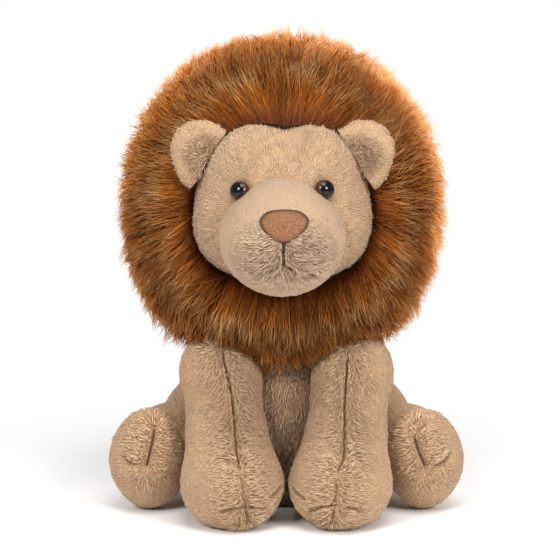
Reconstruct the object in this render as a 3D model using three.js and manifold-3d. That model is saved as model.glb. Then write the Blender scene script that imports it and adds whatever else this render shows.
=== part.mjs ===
// A seated plush lion, 31 cm tall, in millimetres.
// It faces -Y, +X is to the right seen from its front, and it sits on the floor at z = 0.
// The origin is on the flat of the seat, between the hips.

import * as THREE from 'three';
import { mergeVertices } from 'three/addons/utils/BufferGeometryUtils.js';
import Module from 'manifold-3d';

const wasm = await Module();
wasm.setup();

// Fabric, thread and clearances
const gap = 0.3;
const turnGap = 0.9;
const wall = 2.4;
const thread = 0.6;
const floorPress = 0.5;
const overrun = 60;

// Seat, belly and chest of the body
const seatRadius = 42;
const bellyRadius = 60;
const bellyHeight = 40;
const chestRadius = 46;
const chestHeight = 88;
const bodyTop = 117;
const bodyDepthShare = 0.86;
const bodyBack = 9;
const seatSideShare = 1.27;
const waistShare = 0.93;
const crownShare = 0.62;

// Neck: the head turns and nods about one point inside the chest
const neckPivot = new THREE.Vector3(0, 12, 75);
const neckBall = 50;
const neckRadius = 25;
const neckFoot = 92;
const neckFill = 15;
const neckFillFoot = 84;
const neckThreadBelow = 15;

// Head and muzzle
const headAt = new THREE.Vector3(-2.5, -28, 200);
const headRadii = new THREE.Vector3(58, 58, 57);
const headSeam = -12;
const neckStub = 20;
const muzzleAt = new THREE.Vector3(-2.5, -84, 184);
const muzzleRadii = new THREE.Vector3(40, 35, 37.5);

// Mane: a ring of long pile round the face that closes over the back of the head.
// Its front points are shares of the radius and the lip, its rear ones of the radius and the back.
const maneRadius = 108.5;
const maneAbove = 2;
const maneLip = -44;
const maneBack = 70;
const maneTilt = 0.3;
const maneJowlShare = 0.06;
const neckTurn = 15;
const neckTurnStep = 5;
const maneFrontShares = [[0, 0.97], [0.46, 1], [0.62, 1.08], [0.81, 0.9], [0.95, 0.48], [1, -0.09]];
const maneRearShares = [[0.97, 0.34], [0.87, 0.63], [0.66, 0.87], [0.36, 0.98], [0, 1]];

// Eyes: a domed plastic eye on a stem, with a washer pressed on behind the fabric
const eyeSide = 26.7;
const eyeAbove = 13.6;
const eyeRadius = 5.6;
const eyeDome = 4.4;
const eyeEdge = 0.8;
const stemRadius = 1.9;
const stemLength = 12;
const washerRadius = 6.5;
const washerThick = 1.4;

// Nose pad and stitched mouth, placed from the middle of the muzzle
const noseSide = 1.2;
const noseAbove = 12;
const noseHalfWidth = 14.6;
const noseRise = 8.6;
const noseDrop = 12;
const noseThick = 3.5;
const noseRound = 2;
const mouthTopBelow = 1;
const mouthLength = 12.5;
const mouthCorner = 14.5;
const mouthDrop = 9.5;
const mouthBend = 1.2;

// Ears: cupped discs that fold along the seam at their base
const earHalfWidth = 20.5;
const earHalfHeight = 21;
const earHalfThick = 6.4;
const earOut = 9;
const earDishShare = 0.68;
const earDishDepth = 3.6;
const earHinge = 4.6;
const earHingeShare = 0.8;
const earBase = new THREE.Vector3(43, -50, 230);
const earUp = new THREE.Vector3(0.85, 0.02, 0.52);
const earFace = new THREE.Vector3(0.2, -1, 0.1);

// Front legs: they swing about a ball that sits in the chest
const shoulderAt = new THREE.Vector3(41.5, -38, 86);
const shoulderRadius = 25.5;
const shankRise = 5;
const shankEndShare = 0.2;
const kneeAt = new THREE.Vector3(39, -50, 55);
const kneeRadius = 25.2;
const ankleAt = new THREE.Vector3(35.5, -61, 24);
const ankleRadius = 25;
const pawAt = new THREE.Vector3(32, -76, 24.5);
const pawRadii = new THREE.Vector3(29.5, 33, 25);

// Hind legs: a round haunch turns on a flat at the side of the seat
const hipAt = new THREE.Vector3(45, 20, 43.5);
const hipRadius = 41;
const hipFace = 38;
const shinAt = new THREE.Vector3(78, -12, 38);
const shinRadius = 27;
const footAt = new THREE.Vector3(89.2, -31, 33);
const footRadii = new THREE.Vector3(26.3, 25, 33.5);
const hindEndShare = 0.35;
const fillHole = 9;

// Bean bag that weighs the seat down
const beansRadius = 30;
const beansThick = 13;
const beansHeight = 15;

// Tail with its tuft
const tailRoot = new THREE.Vector3(0, 60, 26);
const tailBall = 9;
const tailRadius = 6.2;
const tailTip = new THREE.Vector3(40, 93, tailRadius - floorPress);
const tuftLength = 40;
const tuftRadius = 12;
const tuftBulgeShare = 0.45;
const tailEndShare = 0.2;
const tailBendShare = 0.4;

// How finely round forms are divided: outside, inside, and on small hard pieces
const fineSides = 14;
const plainSides = 10;
const smallSides = 10;
const muzzleSides = 16;
const socketSides = 28;
const threadSides = 6;
const ringShare = 0.6;
const profileShare = 0.7;

const plush = '#c8a886';
const filling = '#f2f0ea';
const sideways = new THREE.Vector3(1, 0, 0);
const upwards = new THREE.Vector3(0, 0, 1);
const group = new THREE.Group();

// A closed triangle mesh with its shared corners merged and its faces pointing out.
function solid(geometry) {
  const bare = geometry.clone();
  bare.deleteAttribute('normal');
  bare.deleteAttribute('uv');
  const merged = mergeVertices(bare);
  const place = merged.getAttribute('position');
  const corner = [0, 1, 2].map(() => new THREE.Vector3());
  const kept = [];
  let volume = 0;
  for (let i = 0; i < merged.index.count; i += 3) {
    const three = [0, 1, 2].map((k) => merged.index.getX(i + k));
    if (new Set(three).size < three.length) continue;
    three.forEach((v, k) => corner[k].fromBufferAttribute(place, v));
    volume += corner[0].dot(corner[1].clone().cross(corner[2]));
    kept.push(three);
  }
  const triVerts = new Uint32Array(kept.flatMap((t) => (volume < 0 ? t.reverse() : t)));
  const vertProperties = new Float32Array(place.array);
  return new wasm.Manifold(new wasm.Mesh({ numProp: 3, vertProperties, triVerts }));
}

function join(pieces) {
  return pieces.reduce((whole, piece) => whole.add(piece));
}

function cut(whole, cutters) {
  return cutters.reduce((left, cutter) => left.subtract(cutter), whole);
}

function addPiece(name, shape, colour, roughness) {
  const { vertProperties, triVerts } = shape.getMesh();
  const geometry = new THREE.BufferGeometry();
  geometry.setAttribute('position', new THREE.BufferAttribute(vertProperties, 3));
  geometry.setIndex(new THREE.BufferAttribute(triVerts, 1));
  geometry.computeVertexNormals();
  const material = new THREE.MeshStandardMaterial({ color: colour, roughness, metalness: 0 });
  const mesh = new THREE.Mesh(geometry, material);
  mesh.name = name;
  group.add(mesh);
}

function mirrored(point, side) {
  return new THREE.Vector3(side * point.x, point.y, point.z);
}

// An ellipsoid with its poles up and down; grow moves its whole surface out.
function ball(centre, radii, sides, grow = 0) {
  const sphere = new THREE.SphereGeometry(1, sides, Math.round(sides / 2));
  sphere.rotateX(Math.PI / 2);
  sphere.scale(radii.x + grow, radii.y + grow, radii.z + grow);
  sphere.translate(centre.x, centre.y, centre.z);
  return solid(sphere);
}

function roundBall(centre, radius, sides, grow = 0) {
  return ball(centre, new THREE.Vector3(radius, radius, radius), sides, grow);
}

function outline(points) {
  return points.map(([across, along]) => new THREE.Vector2(across, along));
}

// A cylinder from one point to another.
function rod(radius, from, to, sides) {
  const length = from.distanceTo(to);
  const cylinder = new THREE.CylinderGeometry(radius, radius, length, sides);
  cylinder.translate(0, length / 2, 0);
  const along = to.clone().sub(from).normalize();
  const upright = new THREE.Vector3(0, 1, 0);
  cylinder.applyQuaternion(new THREE.Quaternion().setFromUnitVectors(upright, along));
  cylinder.translate(from.x, from.y, from.z);
  return solid(cylinder);
}

// A stuffed tube along a curve through stations, with rounded ends. Each ring is a circle
// whose radius runs smoothly from station to station; across is never along the curve.
function stuffedTube(stations, radii, blunt, across, sides, grow = 0) {
  const spine = new THREE.CatmullRomCurve3(stations);
  const size = new THREE.CatmullRomCurve3(radii.map((r) => new THREE.Vector3(r, 0, 0)));
  const steps = Math.round(ringShare * sides);
  const points = [spine.getPoint(0).addScaledVector(spine.getTangent(0), -grow)];
  for (let k = 1; k < steps; k += 1) {
    const angle = (Math.PI * k) / steps;
    const share = (1 - Math.cos(angle)) / 2;
    const along = spine.getTangent(share);
    const side = across.clone().addScaledVector(along, -across.dot(along)).normalize();
    const front = along.clone().cross(side);
    const radius = size.getPoint(share).x * Math.sin(angle) ** blunt + grow;
    for (let i = 0; i < sides; i += 1) {
      const turn = (2 * Math.PI * i) / sides;
      const point = spine.getPoint(share).addScaledVector(side, radius * Math.cos(turn));
      points.push(point.addScaledVector(front, radius * Math.sin(turn)));
    }
  }
  points.push(spine.getPoint(1).addScaledVector(spine.getTangent(1), grow));
  const faces = [];
  for (let i = 0; i < sides; i += 1) {
    const next = (i + 1) % sides;
    const end = 1 + (steps - 2) * sides;
    faces.push(0, 1 + next, 1 + i, end + i, end + next, points.length - 1);
    for (let row = 1; row < end; row += sides) {
      faces.push(row + i, row + next, row + sides + next);
      faces.push(row + i, row + sides + next, row + sides + i);
    }
  }
  const geometry = new THREE.BufferGeometry().setFromPoints(points);
  geometry.setIndex(faces);
  return solid(geometry);
}

// A thread of round section along a curve.
function threadAlong(points, radius, steps) {
  const section = new THREE.Shape().absarc(0, 0, radius, 0, 2 * Math.PI);
  const path = new THREE.CatmullRomCurve3(points);
  return solid(new THREE.ExtrudeGeometry(section, { steps, extrudePath: path, curveSegments: 3 }));
}

// A block that holds everything below a height.
function under(height) {
  const block = new THREE.BoxGeometry(8 * bellyRadius, 8 * bellyRadius, overrun);
  block.translate(0, 0, height - overrun / 2);
  return solid(block);
}

// The body is a pear, deeper at the seat, with its profile in radius and height.
function bodyForm(sides, grow = 0) {
  const shoulders = (bellyHeight + chestHeight) / 2;
  const crown = (chestHeight + 2 * bodyTop) / 3;
  const curve = new THREE.SplineCurve(outline([
    [0, -floorPress - grow],
    [seatRadius + grow, -floorPress - grow],
    [seatRadius * seatSideShare + grow, bellyHeight / 3],
    [bellyRadius + grow, bellyHeight],
    [bellyRadius * waistShare + grow, shoulders],
    [chestRadius + grow, chestHeight],
    [chestRadius * crownShare + grow, crown],
    [0, bodyTop + grow],
  ]));
  const profile = curve.getPoints(Math.round(profileShare * sides));
  profile.forEach((point) => point.setX(Math.max(point.x, 0)));
  profile[0].x = 0;
  profile[profile.length - 1].x = 0;
  const pear = new THREE.LatheGeometry(profile, sides);
  pear.rotateX(Math.PI / 2);
  pear.scale(1, bodyDepthShare, 1);
  pear.translate(0, bodyBack, 0);
  return solid(pear);
}

// The neck is a short stub whose top is part of the sphere that the head turns on.
function neckForm(radius, foot) {
  const arcSteps = 4;
  const profile = [[0, foot], [radius, foot]];
  for (let i = 0; i < arcSteps; i += 1) {
    const across = radius * (1 - i / arcSteps);
    profile.push([across, neckPivot.z + Math.sqrt(neckBall ** 2 - across ** 2)]);
  }
  profile.push([0, neckPivot.z + neckBall]);
  const stub = new THREE.LatheGeometry(outline(profile), fineSides);
  stub.rotateX(Math.PI / 2);
  stub.translate(neckPivot.x, neckPivot.y, 0);
  return solid(stub);
}

function neckRing(grow) {
  const radius = neckRadius + gap + 2 * thread;
  const ring = new THREE.TorusGeometry(radius, 2 * thread + grow, threadSides, fineSides);
  const height = neckPivot.z + neckBall - neckThreadBelow;
  ring.translate(neckPivot.x, neckPivot.y, height);
  return solid(ring);
}

function hipAxis(side, from, to, radius, sides) {
  const ends = [from, to].map((x) => new THREE.Vector3(side * x, hipAt.y, hipAt.z));
  return rod(radius, ends[0], ends[1], sides);
}

// What the body leaves free for the legs and the tail, with a clearance round each.
// Balls that turn in their sockets have more of it, because their sides are flat facets.
function sockets(clear, sides) {
  const turning = clear - gap + turnGap;
  const free = [roundBall(tailRoot, tailBall, sides, turning)];
  for (const side of [-1, 1]) {
    free.push(roundBall(mirrored(shoulderAt, side), shoulderRadius, sides, turning));
    free.push(hipAxis(side, hipFace - clear, 2 * hipAt.x, hipRadius + turning, sides));
  }
  return free;
}

function beanBag(grow) {
  const radii = new THREE.Vector3(beansRadius, beansRadius * bodyDepthShare, beansThick);
  return ball(new THREE.Vector3(0, bodyBack, beansHeight), radii, plainSides, grow);
}

function addBody() {
  const above = new THREE.Vector3(neckPivot.x, neckPivot.y, bodyTop + overrun);
  const skin = join([bodyForm(2 * plainSides), neckForm(neckRadius, neckFoot)]);
  const hollow = cut(bodyForm(plainSides, -wall), [...sockets(gap + wall, plainSides), under(wall)]);
  const collar = rod(neckFill + turnGap, neckPivot, above, fineSides);
  const cover = cut(skin, [...sockets(gap, socketSides), hollow, collar, neckRing(gap), under(0)]);
  addPiece('body_cover', cover, plush, 0.95);

  const fill = cut(bodyForm(plainSides, -wall - gap), [
    ...sockets(wall + 2 * gap, plainSides),
    under(wall + gap),
    rod(neckFill + turnGap, neckPivot.clone().setZ(neckFillFoot - gap), above, fineSides),
    neckRing(gap + wall),
    beanBag(gap),
  ]);
  addPiece('body_stuffing', fill, filling, 1);
  addPiece('pellet_bag', cut(beanBag(0), [under(wall + 2 * gap)]), '#e4ddcf', 0.9);
  addPiece('neck_stuffing', neckForm(neckFill, neckFillFoot), filling, 1);
  addPiece('neck_thread', neckRing(0), '#b8976f', 0.8);
}

// A front leg is a ball in its socket, a shank and a paw, cut by the body outside the socket.
function frontLeg(side, sides, grow, clear) {
  const [shoulder, knee, ankle, paw] = [shoulderAt, kneeAt, ankleAt, pawAt].map((p) => mirrored(p, side));
  const radii = [shoulderRadius, kneeRadius, ankleRadius];
  const start = shoulder.clone().setZ(shoulder.z + shankRise);
  const limb = join([
    stuffedTube([start, knee, ankle], radii, shankEndShare, sideways, sides, grow),
    ball(paw, pawRadii, sides, grow),
  ]);
  const free = cut(limb, [bodyForm(2 * plainSides, clear), under(-grow)]);
  return join([roundBall(shoulder, shoulderRadius, sides, grow), free]);
}

function addFrontLegs() {
  for (const [name, side] of [['front_leg_left', -1], ['front_leg_right', 1]]) {
    const shoulder = mirrored(shoulderAt, side);
    const hole = rod(fillHole, shoulder, shoulder.clone().setY(shoulder.y + overrun), smallSides);
    const hollow = frontLeg(side, plainSides, -wall, gap + wall);
    addPiece(`${name}_cover`, cut(frontLeg(side, fineSides, 0, gap), [hollow, hole]), plush, 0.95);
    addPiece(`${name}_stuffing`, frontLeg(side, plainSides, -wall - gap, 2 * gap + wall), filling, 1);
  }
}

// A hind leg is a haunch with a flat at the hip, a shin and a foot.
function hindLeg(side, sides, grow) {
  const [hip, shin, foot] = [hipAt, shinAt, footAt].map((p) => mirrored(p, side));
  const radii = [shinRadius, shinRadius, shinRadius];
  const limb = join([
    roundBall(hip, hipRadius, sides, grow),
    stuffedTube([hip, shin, foot], radii, hindEndShare, sideways, sides, grow),
    ball(foot, footRadii, sides, grow),
  ]);
  const inside = hipAxis(side, -overrun, hipFace - grow, 2 * hipRadius, fineSides);
  return cut(limb, [inside, under(-grow)]);
}

function addHindLegs() {
  for (const [name, side] of [['hind_leg_left', -1], ['hind_leg_right', 1]]) {
    const hole = hipAxis(side, 0, hipAt.x, fillHole, fineSides);
    const cover = cut(hindLeg(side, fineSides, 0), [hindLeg(side, plainSides, -wall), hole]);
    addPiece(`${name}_cover`, cover, plush, 0.95);
    addPiece(`${name}_stuffing`, hindLeg(side, plainSides, -wall - gap), filling, 1);
  }
}

function addTail() {
  const bend = tailRoot.clone().lerp(tailTip, tailBendShare);
  bend.setX(tailBall / 2).setZ(tailTip.z + tailBall / 2);
  const radii = [tailRadius, tailRadius, tailRadius];
  const rope = stuffedTube([tailRoot, bend, tailTip], radii, tailEndShare, upwards, fineSides);
  const free = cut(rope, [bodyForm(2 * plainSides, gap), under(0)]);
  addPiece('tail', join([roundBall(tailRoot, tailBall, fineSides), free]), plush, 0.95);

  const profile = [];
  const steps = 8;
  for (let i = 0; i <= steps; i += 1) {
    const share = i / steps;
    const skew = share ** (Math.log(0.5) / Math.log(tuftBulgeShare));
    profile.push([tuftRadius * Math.sin(Math.PI * skew), tuftLength * share]);
  }
  profile[steps][0] = 0;
  const tuft = new THREE.LatheGeometry(outline(profile), smallSides);
  tuft.rotateZ(-Math.PI / 2);
  tuft.translate(tailTip.x - tailRadius, tailTip.y, tuftRadius - floorPress);
  addPiece('tail_tuft', cut(solid(tuft), [solidTail(rope), under(0)]), '#a86428', 1);
}

function solidTail(rope) {
  const end = roundBall(tailTip, tailRadius, smallSides, gap);
  const last = rod(tailRadius + gap, tailTip.clone().setX(tailTip.x - tuftRadius), tailTip, smallSides);
  return join([end, last, rope]);
}

// The head as one closed form; its front is the face and its back is inside the mane.
function headForm(sides, grow = 0) {
  return ball(headAt, headRadii, sides, grow);
}

// A block that holds everything behind a depth.
function behind(depth) {
  const block = new THREE.BoxGeometry(8 * bellyRadius, 8 * bellyRadius, 8 * bellyRadius);
  block.translate(headAt.x, depth + 4 * bellyRadius, headAt.z);
  return solid(block);
}

// Frame on the face at one eye: where it sits on the head and which way it looks.
function eyePlace(side) {
  const offset = new THREE.Vector3(side * eyeSide, 0, eyeAbove);
  const used = (offset.x / headRadii.x) ** 2 + (offset.z / headRadii.z) ** 2;
  offset.y = -headRadii.y * Math.sqrt(1 - used);
  const normal = offset.clone().divide(headRadii).divide(headRadii).normalize();
  return { point: headAt.clone().add(offset), normal };
}

// Something turned about an eye's stem, placed on the face.
function onEye(side, profile, sides) {
  const { point, normal } = eyePlace(side);
  const form = new THREE.LatheGeometry(outline(profile), sides);
  form.applyQuaternion(new THREE.Quaternion().setFromUnitVectors(new THREE.Vector3(0, 1, 0), normal));
  form.translate(point.x, point.y, point.z);
  return solid(form);
}

function eyeForm(side, grow) {
  const radius = eyeRadius + grow;
  const seat = gap + eyeEdge;
  const profile = [[0, -stemLength - grow], [stemRadius + grow, -stemLength - grow]];
  profile.push([stemRadius + grow, gap - grow], [radius, gap - grow], [radius, seat]);
  const steps = 4;
  for (let i = 1; i < steps; i += 1) {
    const angle = (Math.PI * i) / (2 * steps);
    profile.push([radius * Math.cos(angle), seat + (eyeDome - eyeEdge + grow) * Math.sin(angle)]);
  }
  profile.push([0, gap + eyeDome + grow]);
  return onEye(side, profile, smallSides);
}

function eyeWasher(side, grow) {
  const front = -wall - 2 * gap + grow;
  const back = -wall - 2 * gap - washerThick - grow;
  const bore = stemRadius + gap - grow;
  const edge = washerRadius + grow;
  const profile = [[bore, back], [edge, back], [edge, front], [bore, front], [bore, back]];
  return onEye(side, profile, smallSides);
}

// Room for a washer on the inner side of the face fabric.
function washerSeat(side) {
  const radius = washerRadius + gap;
  const front = -wall - gap;
  const profile = [[0, -stemLength], [radius, -stemLength], [radius, front], [0, front]];
  return onEye(side, profile, smallSides);
}

// Axes of an ear: across its base, out from the head, and to the front.
function earAxes(side) {
  const out = mirrored(earUp, side).normalize();
  const face = mirrored(earFace, side);
  face.addScaledVector(out, -face.dot(out)).normalize();
  return new THREE.Matrix4().makeBasis(out.clone().cross(face), out, face);
}

function placedEar(form, side) {
  const base = mirrored(earBase, side);
  form.applyMatrix4(earAxes(side));
  form.translate(base.x + headAt.x, base.y, base.z);
  return solid(form);
}

function earDisc(side, grow) {
  const disc = new THREE.SphereGeometry(1, fineSides, Math.round(fineSides / 2));
  disc.scale(earHalfWidth + grow, earHalfHeight + grow, earHalfThick + grow);
  disc.translate(0, earOut, 0);
  const width = 2 * earHalfWidth * earHingeShare;
  const roll = new THREE.CylinderGeometry(earHinge + grow, earHinge + grow, width, smallSides);
  roll.rotateZ(Math.PI / 2);
  return [placedEar(disc, side), placedEar(roll, side)];
}

// Room for an ear at rest and, in front of its disc, for all of its fold.
function earRoom(side) {
  const front = new THREE.CylinderGeometry(1, 1, earHalfHeight, fineSides);
  front.rotateX(Math.PI / 2);
  front.scale(earHalfWidth + gap, earHalfHeight + gap, 1);
  front.translate(0, earOut, earHalfHeight / 2);
  return join([...earDisc(side, gap), placedEar(front, side)]);
}

function earShape(side) {
  const [disc, roll] = earDisc(side, 0);
  const dish = new THREE.SphereGeometry(1, fineSides, Math.round(fineSides / 2));
  dish.scale(earHalfWidth * earDishShare, earHalfHeight * earDishShare, earDishDepth);
  dish.translate(0, earOut, earHalfThick);
  const free = cut(disc, [headForm(2 * plainSides, gap), placedEar(dish, side)]);
  return join([free, roll]);
}

// The mane is a ring of revolution, tilted back and a little fuller at its lower corners.
function maneForm() {
  const front = maneFrontShares.map(([r, y]) => [r * maneRadius, y * maneLip]);
  const rear = maneRearShares.map(([r, y]) => [r * maneRadius, y * maneBack]);
  const profile = new THREE.SplineCurve(outline([...front, ...rear])).getPoints(fineSides);
  profile[0].x = 0;
  profile[profile.length - 1].x = 0;
  const ring = new THREE.LatheGeometry(profile, 2 * fineSides);
  const place = ring.getAttribute('position');
  for (let i = 0; i < place.count; i += 1) {
    const [x, z] = [place.getX(i), place.getZ(i)];
    const low = Math.max(Math.atan2(-z, Math.abs(x)), 0);
    const jowl = 1 + maneJowlShare * Math.sin(2 * low) ** 2;
    place.setXYZ(i, x * jowl, place.getY(i), z * jowl);
  }
  ring.applyMatrix4(new THREE.Matrix4().makeShear(0, 0, 0, 0, 0, maneTilt));
  ring.translate(headAt.x, 0, headAt.z + maneAbove);
  return solid(ring);
}

function addHead() {
  const below = new THREE.Vector3(headAt.x, neckPivot.y, neckPivot.z);
  const core = new THREE.Vector3(headAt.x, neckPivot.y, headAt.z);
  const neckSphere = (grow) => roundBall(neckPivot, neckBall, 2 * fineSides, grow);
  const shoulders = [];
  for (let turn = -neckTurn; turn <= neckTurn; turn += neckTurnStep) {
    for (const side of [-1, 1]) {
      const place = mirrored(shoulderAt, side).sub(neckPivot);
      place.applyAxisAngle(upwards, THREE.MathUtils.degToRad(turn)).add(neckPivot);
      shoulders.push(roundBall(place, shoulderRadius, fineSides, turnGap));
    }
  }
  const ears = [earRoom(-1), earRoom(1)];
  const seats = [...earDisc(-1, gap), ...earDisc(1, gap)];
  const eyes = [eyeForm(-1, gap), eyeForm(1, gap)];
  const washers = [eyeWasher(-1, gap), eyeWasher(1, gap)];

  const face = cut(headForm(2 * plainSides), [
    headForm(fineSides, -wall),
    behind(headSeam),
    ...seats,
    ...eyes,
    washerSeat(-1),
    washerSeat(1),
  ]);
  addPiece('head_cover', face, plush, 0.95);

  const fill = join([headForm(fineSides, -wall - gap), rod(neckStub, below, core, fineSides)]);
  addPiece('head_stuffing', cut(fill, [neckSphere(turnGap), ...seats, ...eyes, ...washers]), filling, 1);

  const pocket = join([
    cut(headForm(2 * plainSides, gap), [behind(headSeam + gap)]),
    headForm(fineSides, -wall),
    rod(neckStub + gap, below, core, fineSides),
  ]);
  addPiece('mane', cut(maneForm(), [pocket, neckSphere(turnGap), ...ears, ...shoulders]), '#a86428', 1);

  const rear = headForm(2 * plainSides, gap);
  const snout = ball(muzzleAt, muzzleRadii, muzzleSides);
  const snoutHollow = ball(muzzleAt, muzzleRadii, plainSides, -wall);
  addPiece('muzzle_cover', cut(snout, [snoutHollow, rear, ...eyes]), '#d2b594', 0.95);
  const snoutFill = ball(muzzleAt, muzzleRadii, plainSides, -wall - gap);
  addPiece('muzzle_stuffing', cut(snoutFill, [headForm(2 * plainSides, gap), ...eyes]), filling, 1);
}

function addEyesAndEars() {
  for (const [name, side] of [['left', -1], ['right', 1]]) {
    addPiece(`eye_${name}`, eyeForm(side, 0), '#1c120c', 0.15);
    addPiece(`eye_washer_${name}`, eyeWasher(side, 0), '#e8e8e6', 0.5);
    addPiece(`ear_${name}`, earShape(side), plush, 0.95);
  }
}

// Depth of the muzzle's front at a place beside and above its middle, plus a distance clear of it.
function muzzleFront(beside, above, clear) {
  const used = (beside / muzzleRadii.x) ** 2 + (above / muzzleRadii.z) ** 2;
  return muzzleAt.y - muzzleRadii.y * Math.sqrt(1 - used) - clear;
}

function addNoseAndMouth() {
  const shape = new THREE.Shape();
  shape.moveTo(0, -noseDrop);
  shape.bezierCurveTo(noseRound * 3, -noseDrop, noseHalfWidth, -noseRound, noseHalfWidth, noseRound);
  shape.bezierCurveTo(noseHalfWidth, noseRise, noseHalfWidth / 2, noseRise, 0, noseRise);
  shape.bezierCurveTo(-noseHalfWidth / 2, noseRise, -noseHalfWidth, noseRise, -noseHalfWidth, noseRound);
  shape.bezierCurveTo(-noseHalfWidth, -noseRound, -noseRound * 3, -noseDrop, 0, -noseDrop);
  const pad = new THREE.ExtrudeGeometry(shape, {
    depth: noseThick,
    bevelSize: noseRound,
    bevelThickness: noseRound,
    bevelOffset: -noseRound,
    bevelSegments: 2,
    curveSegments: 5,
  });
  pad.rotateX(Math.PI / 2);
  pad.translate(muzzleAt.x + noseSide, muzzleFront(0, noseAbove, -noseRound), muzzleAt.z + noseAbove);
  const snout = ball(muzzleAt, muzzleRadii, muzzleSides, gap);
  addPiece('nose', cut(solid(pad), [snout]), '#b07858', 0.8);

  const onMuzzle = (beside, below) => {
    const front = muzzleFront(beside, -below, gap + thread);
    return new THREE.Vector3(muzzleAt.x + beside, front, muzzleAt.z - below);
  };
  const fork = mouthTopBelow + mouthLength;
  const drops = [mouthTopBelow, (mouthTopBelow + fork) / 2, fork];
  const seam = threadAlong(drops.map((below) => onMuzzle(0, below)), thread, 4);
  const lips = [-1, -0.5, 0, 0.5, 1].map((share) => {
    const drop = Math.abs(share) ** mouthBend * mouthDrop;
    return onMuzzle(share * mouthCorner, fork + drop);
  });
  addPiece('mouth_thread', join([seam, threadAlong(lips, thread, 8)]), '#6e5440', 0.8);
}

addBody();
addFrontLegs();
addHindLegs();
addTail();
addHead();
addEyesAndEars();
addNoseAndMouth();

export default group;
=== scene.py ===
import math

import bpy
import numpy as np
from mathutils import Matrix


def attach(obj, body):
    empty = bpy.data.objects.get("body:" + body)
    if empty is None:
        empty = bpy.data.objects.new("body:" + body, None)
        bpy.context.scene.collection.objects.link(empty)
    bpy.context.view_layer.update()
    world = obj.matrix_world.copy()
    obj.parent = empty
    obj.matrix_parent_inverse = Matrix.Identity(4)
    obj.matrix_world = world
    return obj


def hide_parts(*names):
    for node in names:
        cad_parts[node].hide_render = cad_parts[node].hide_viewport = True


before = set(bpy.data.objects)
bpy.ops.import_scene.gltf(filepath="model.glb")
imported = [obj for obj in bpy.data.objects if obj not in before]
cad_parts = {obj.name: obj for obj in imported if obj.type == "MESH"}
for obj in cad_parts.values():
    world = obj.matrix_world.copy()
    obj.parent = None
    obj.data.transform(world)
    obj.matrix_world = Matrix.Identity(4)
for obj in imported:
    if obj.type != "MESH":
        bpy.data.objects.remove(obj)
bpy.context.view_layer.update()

# The camera stands 1.3 m in front of the toy and looks 7 degrees down, at the photograph's framing.
# Its small shift only puts the toy where the picture has it.
PICTURE = 560
FOCAL = 1999.4
SHIFT = (-6.4, -16.8)
DISTANCE = 1.3
LOOK_DOWN = math.radians(7)
AIM = (0, -0.02, 0.16)
camera_data = bpy.data.cameras.new("camera")
camera_data.sensor_width = 36
camera_data.lens = camera_data.sensor_width * FOCAL / PICTURE
camera_data.shift_x, camera_data.shift_y = SHIFT[0] / PICTURE, SHIFT[1] / PICTURE
camera_data.clip_end = 20
camera = bpy.data.objects.new("camera", camera_data)
camera.location = (AIM[0], AIM[1] - DISTANCE * math.cos(LOOK_DOWN), AIM[2] + DISTANCE * math.sin(LOOK_DOWN))
camera.rotation_euler = (math.pi / 2 - LOOK_DOWN, 0, 0)
bpy.context.scene.collection.objects.link(camera)
bpy.context.scene.camera = camera
bpy.context.scene.view_settings.view_transform = "Standard"


# The studio: soft lamps, two in front for the lights in the eyes and one above. The world fills in
# the rest, and only the camera sees it as white. The white paper floor takes the toy's shadow, and
# further off the camera sees it as white too.
def lamp(name, place, aim, size, power):
    """A square lamp of a given size at a place, turned to its aim."""
    light = bpy.data.lights.new(name, "AREA")
    light.shape = "SQUARE"
    light.size = size
    light.energy = power
    item = bpy.data.objects.new(name, light)
    item.location = place
    to_aim = np.subtract(aim, place)
    tilt = math.atan2(math.hypot(to_aim[0], to_aim[1]), -to_aim[2])
    item.rotation_euler = (tilt, 0, math.atan2(to_aim[1], to_aim[0]) - math.pi / 2)
    bpy.context.scene.collection.objects.link(item)


def node(tree, kind, settings, links):
    """Adds a node, sets its attributes and inputs, and links its inputs from other nodes' outputs."""
    added = tree.nodes.new(kind)
    for name, value in settings.items():
        if isinstance(name, str) and hasattr(added, name) and name not in added.inputs:
            setattr(added, name, value)
        else:
            added.inputs[name].default_value = value
    for name, source in links.items():
        tree.links.new(source, added.inputs[name])
    return added


def new_material(name):
    """A material whose node tree is empty, and that tree."""
    material = bpy.data.materials.new(name)
    material.use_nodes = True
    material.node_tree.nodes.clear()
    return material, material.node_tree


lamp("lamp_above", (0.15, -0.7, 1.5), (0, 0, 0.15), 0.9, 14)
lamp("lamp_front_left", (-0.9, -1.45, 1.1), (0, 0, 0.18), 0.55, 18.5)
lamp("lamp_front_right", (1.1, -1.45, 0.95), (0, 0, 0.18), 0.55, 18.5)
lamp("lamp_behind", (0.2, 1.5, 1.1), (0, 0, 0.2), 1.2, 11)

FILL_LIGHT = 0.33
world = bpy.data.worlds.new("studio")
bpy.context.scene.world = world
world.use_nodes = True
tree = world.node_tree
tree.nodes.clear()
path = node(tree, "ShaderNodeLightPath", {}, {})
limits = {"To Min": FILL_LIGHT, "To Max": 1.0}
level = node(tree, "ShaderNodeMapRange", limits, {"Value": path.outputs["Is Camera Ray"]})
sky = node(tree, "ShaderNodeBackground", {"Color": (1, 1, 1, 1)}, {"Strength": level.outputs["Result"]})
node(tree, "ShaderNodeOutputWorld", {}, {"Surface": sky.outputs["Background"]})

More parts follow.
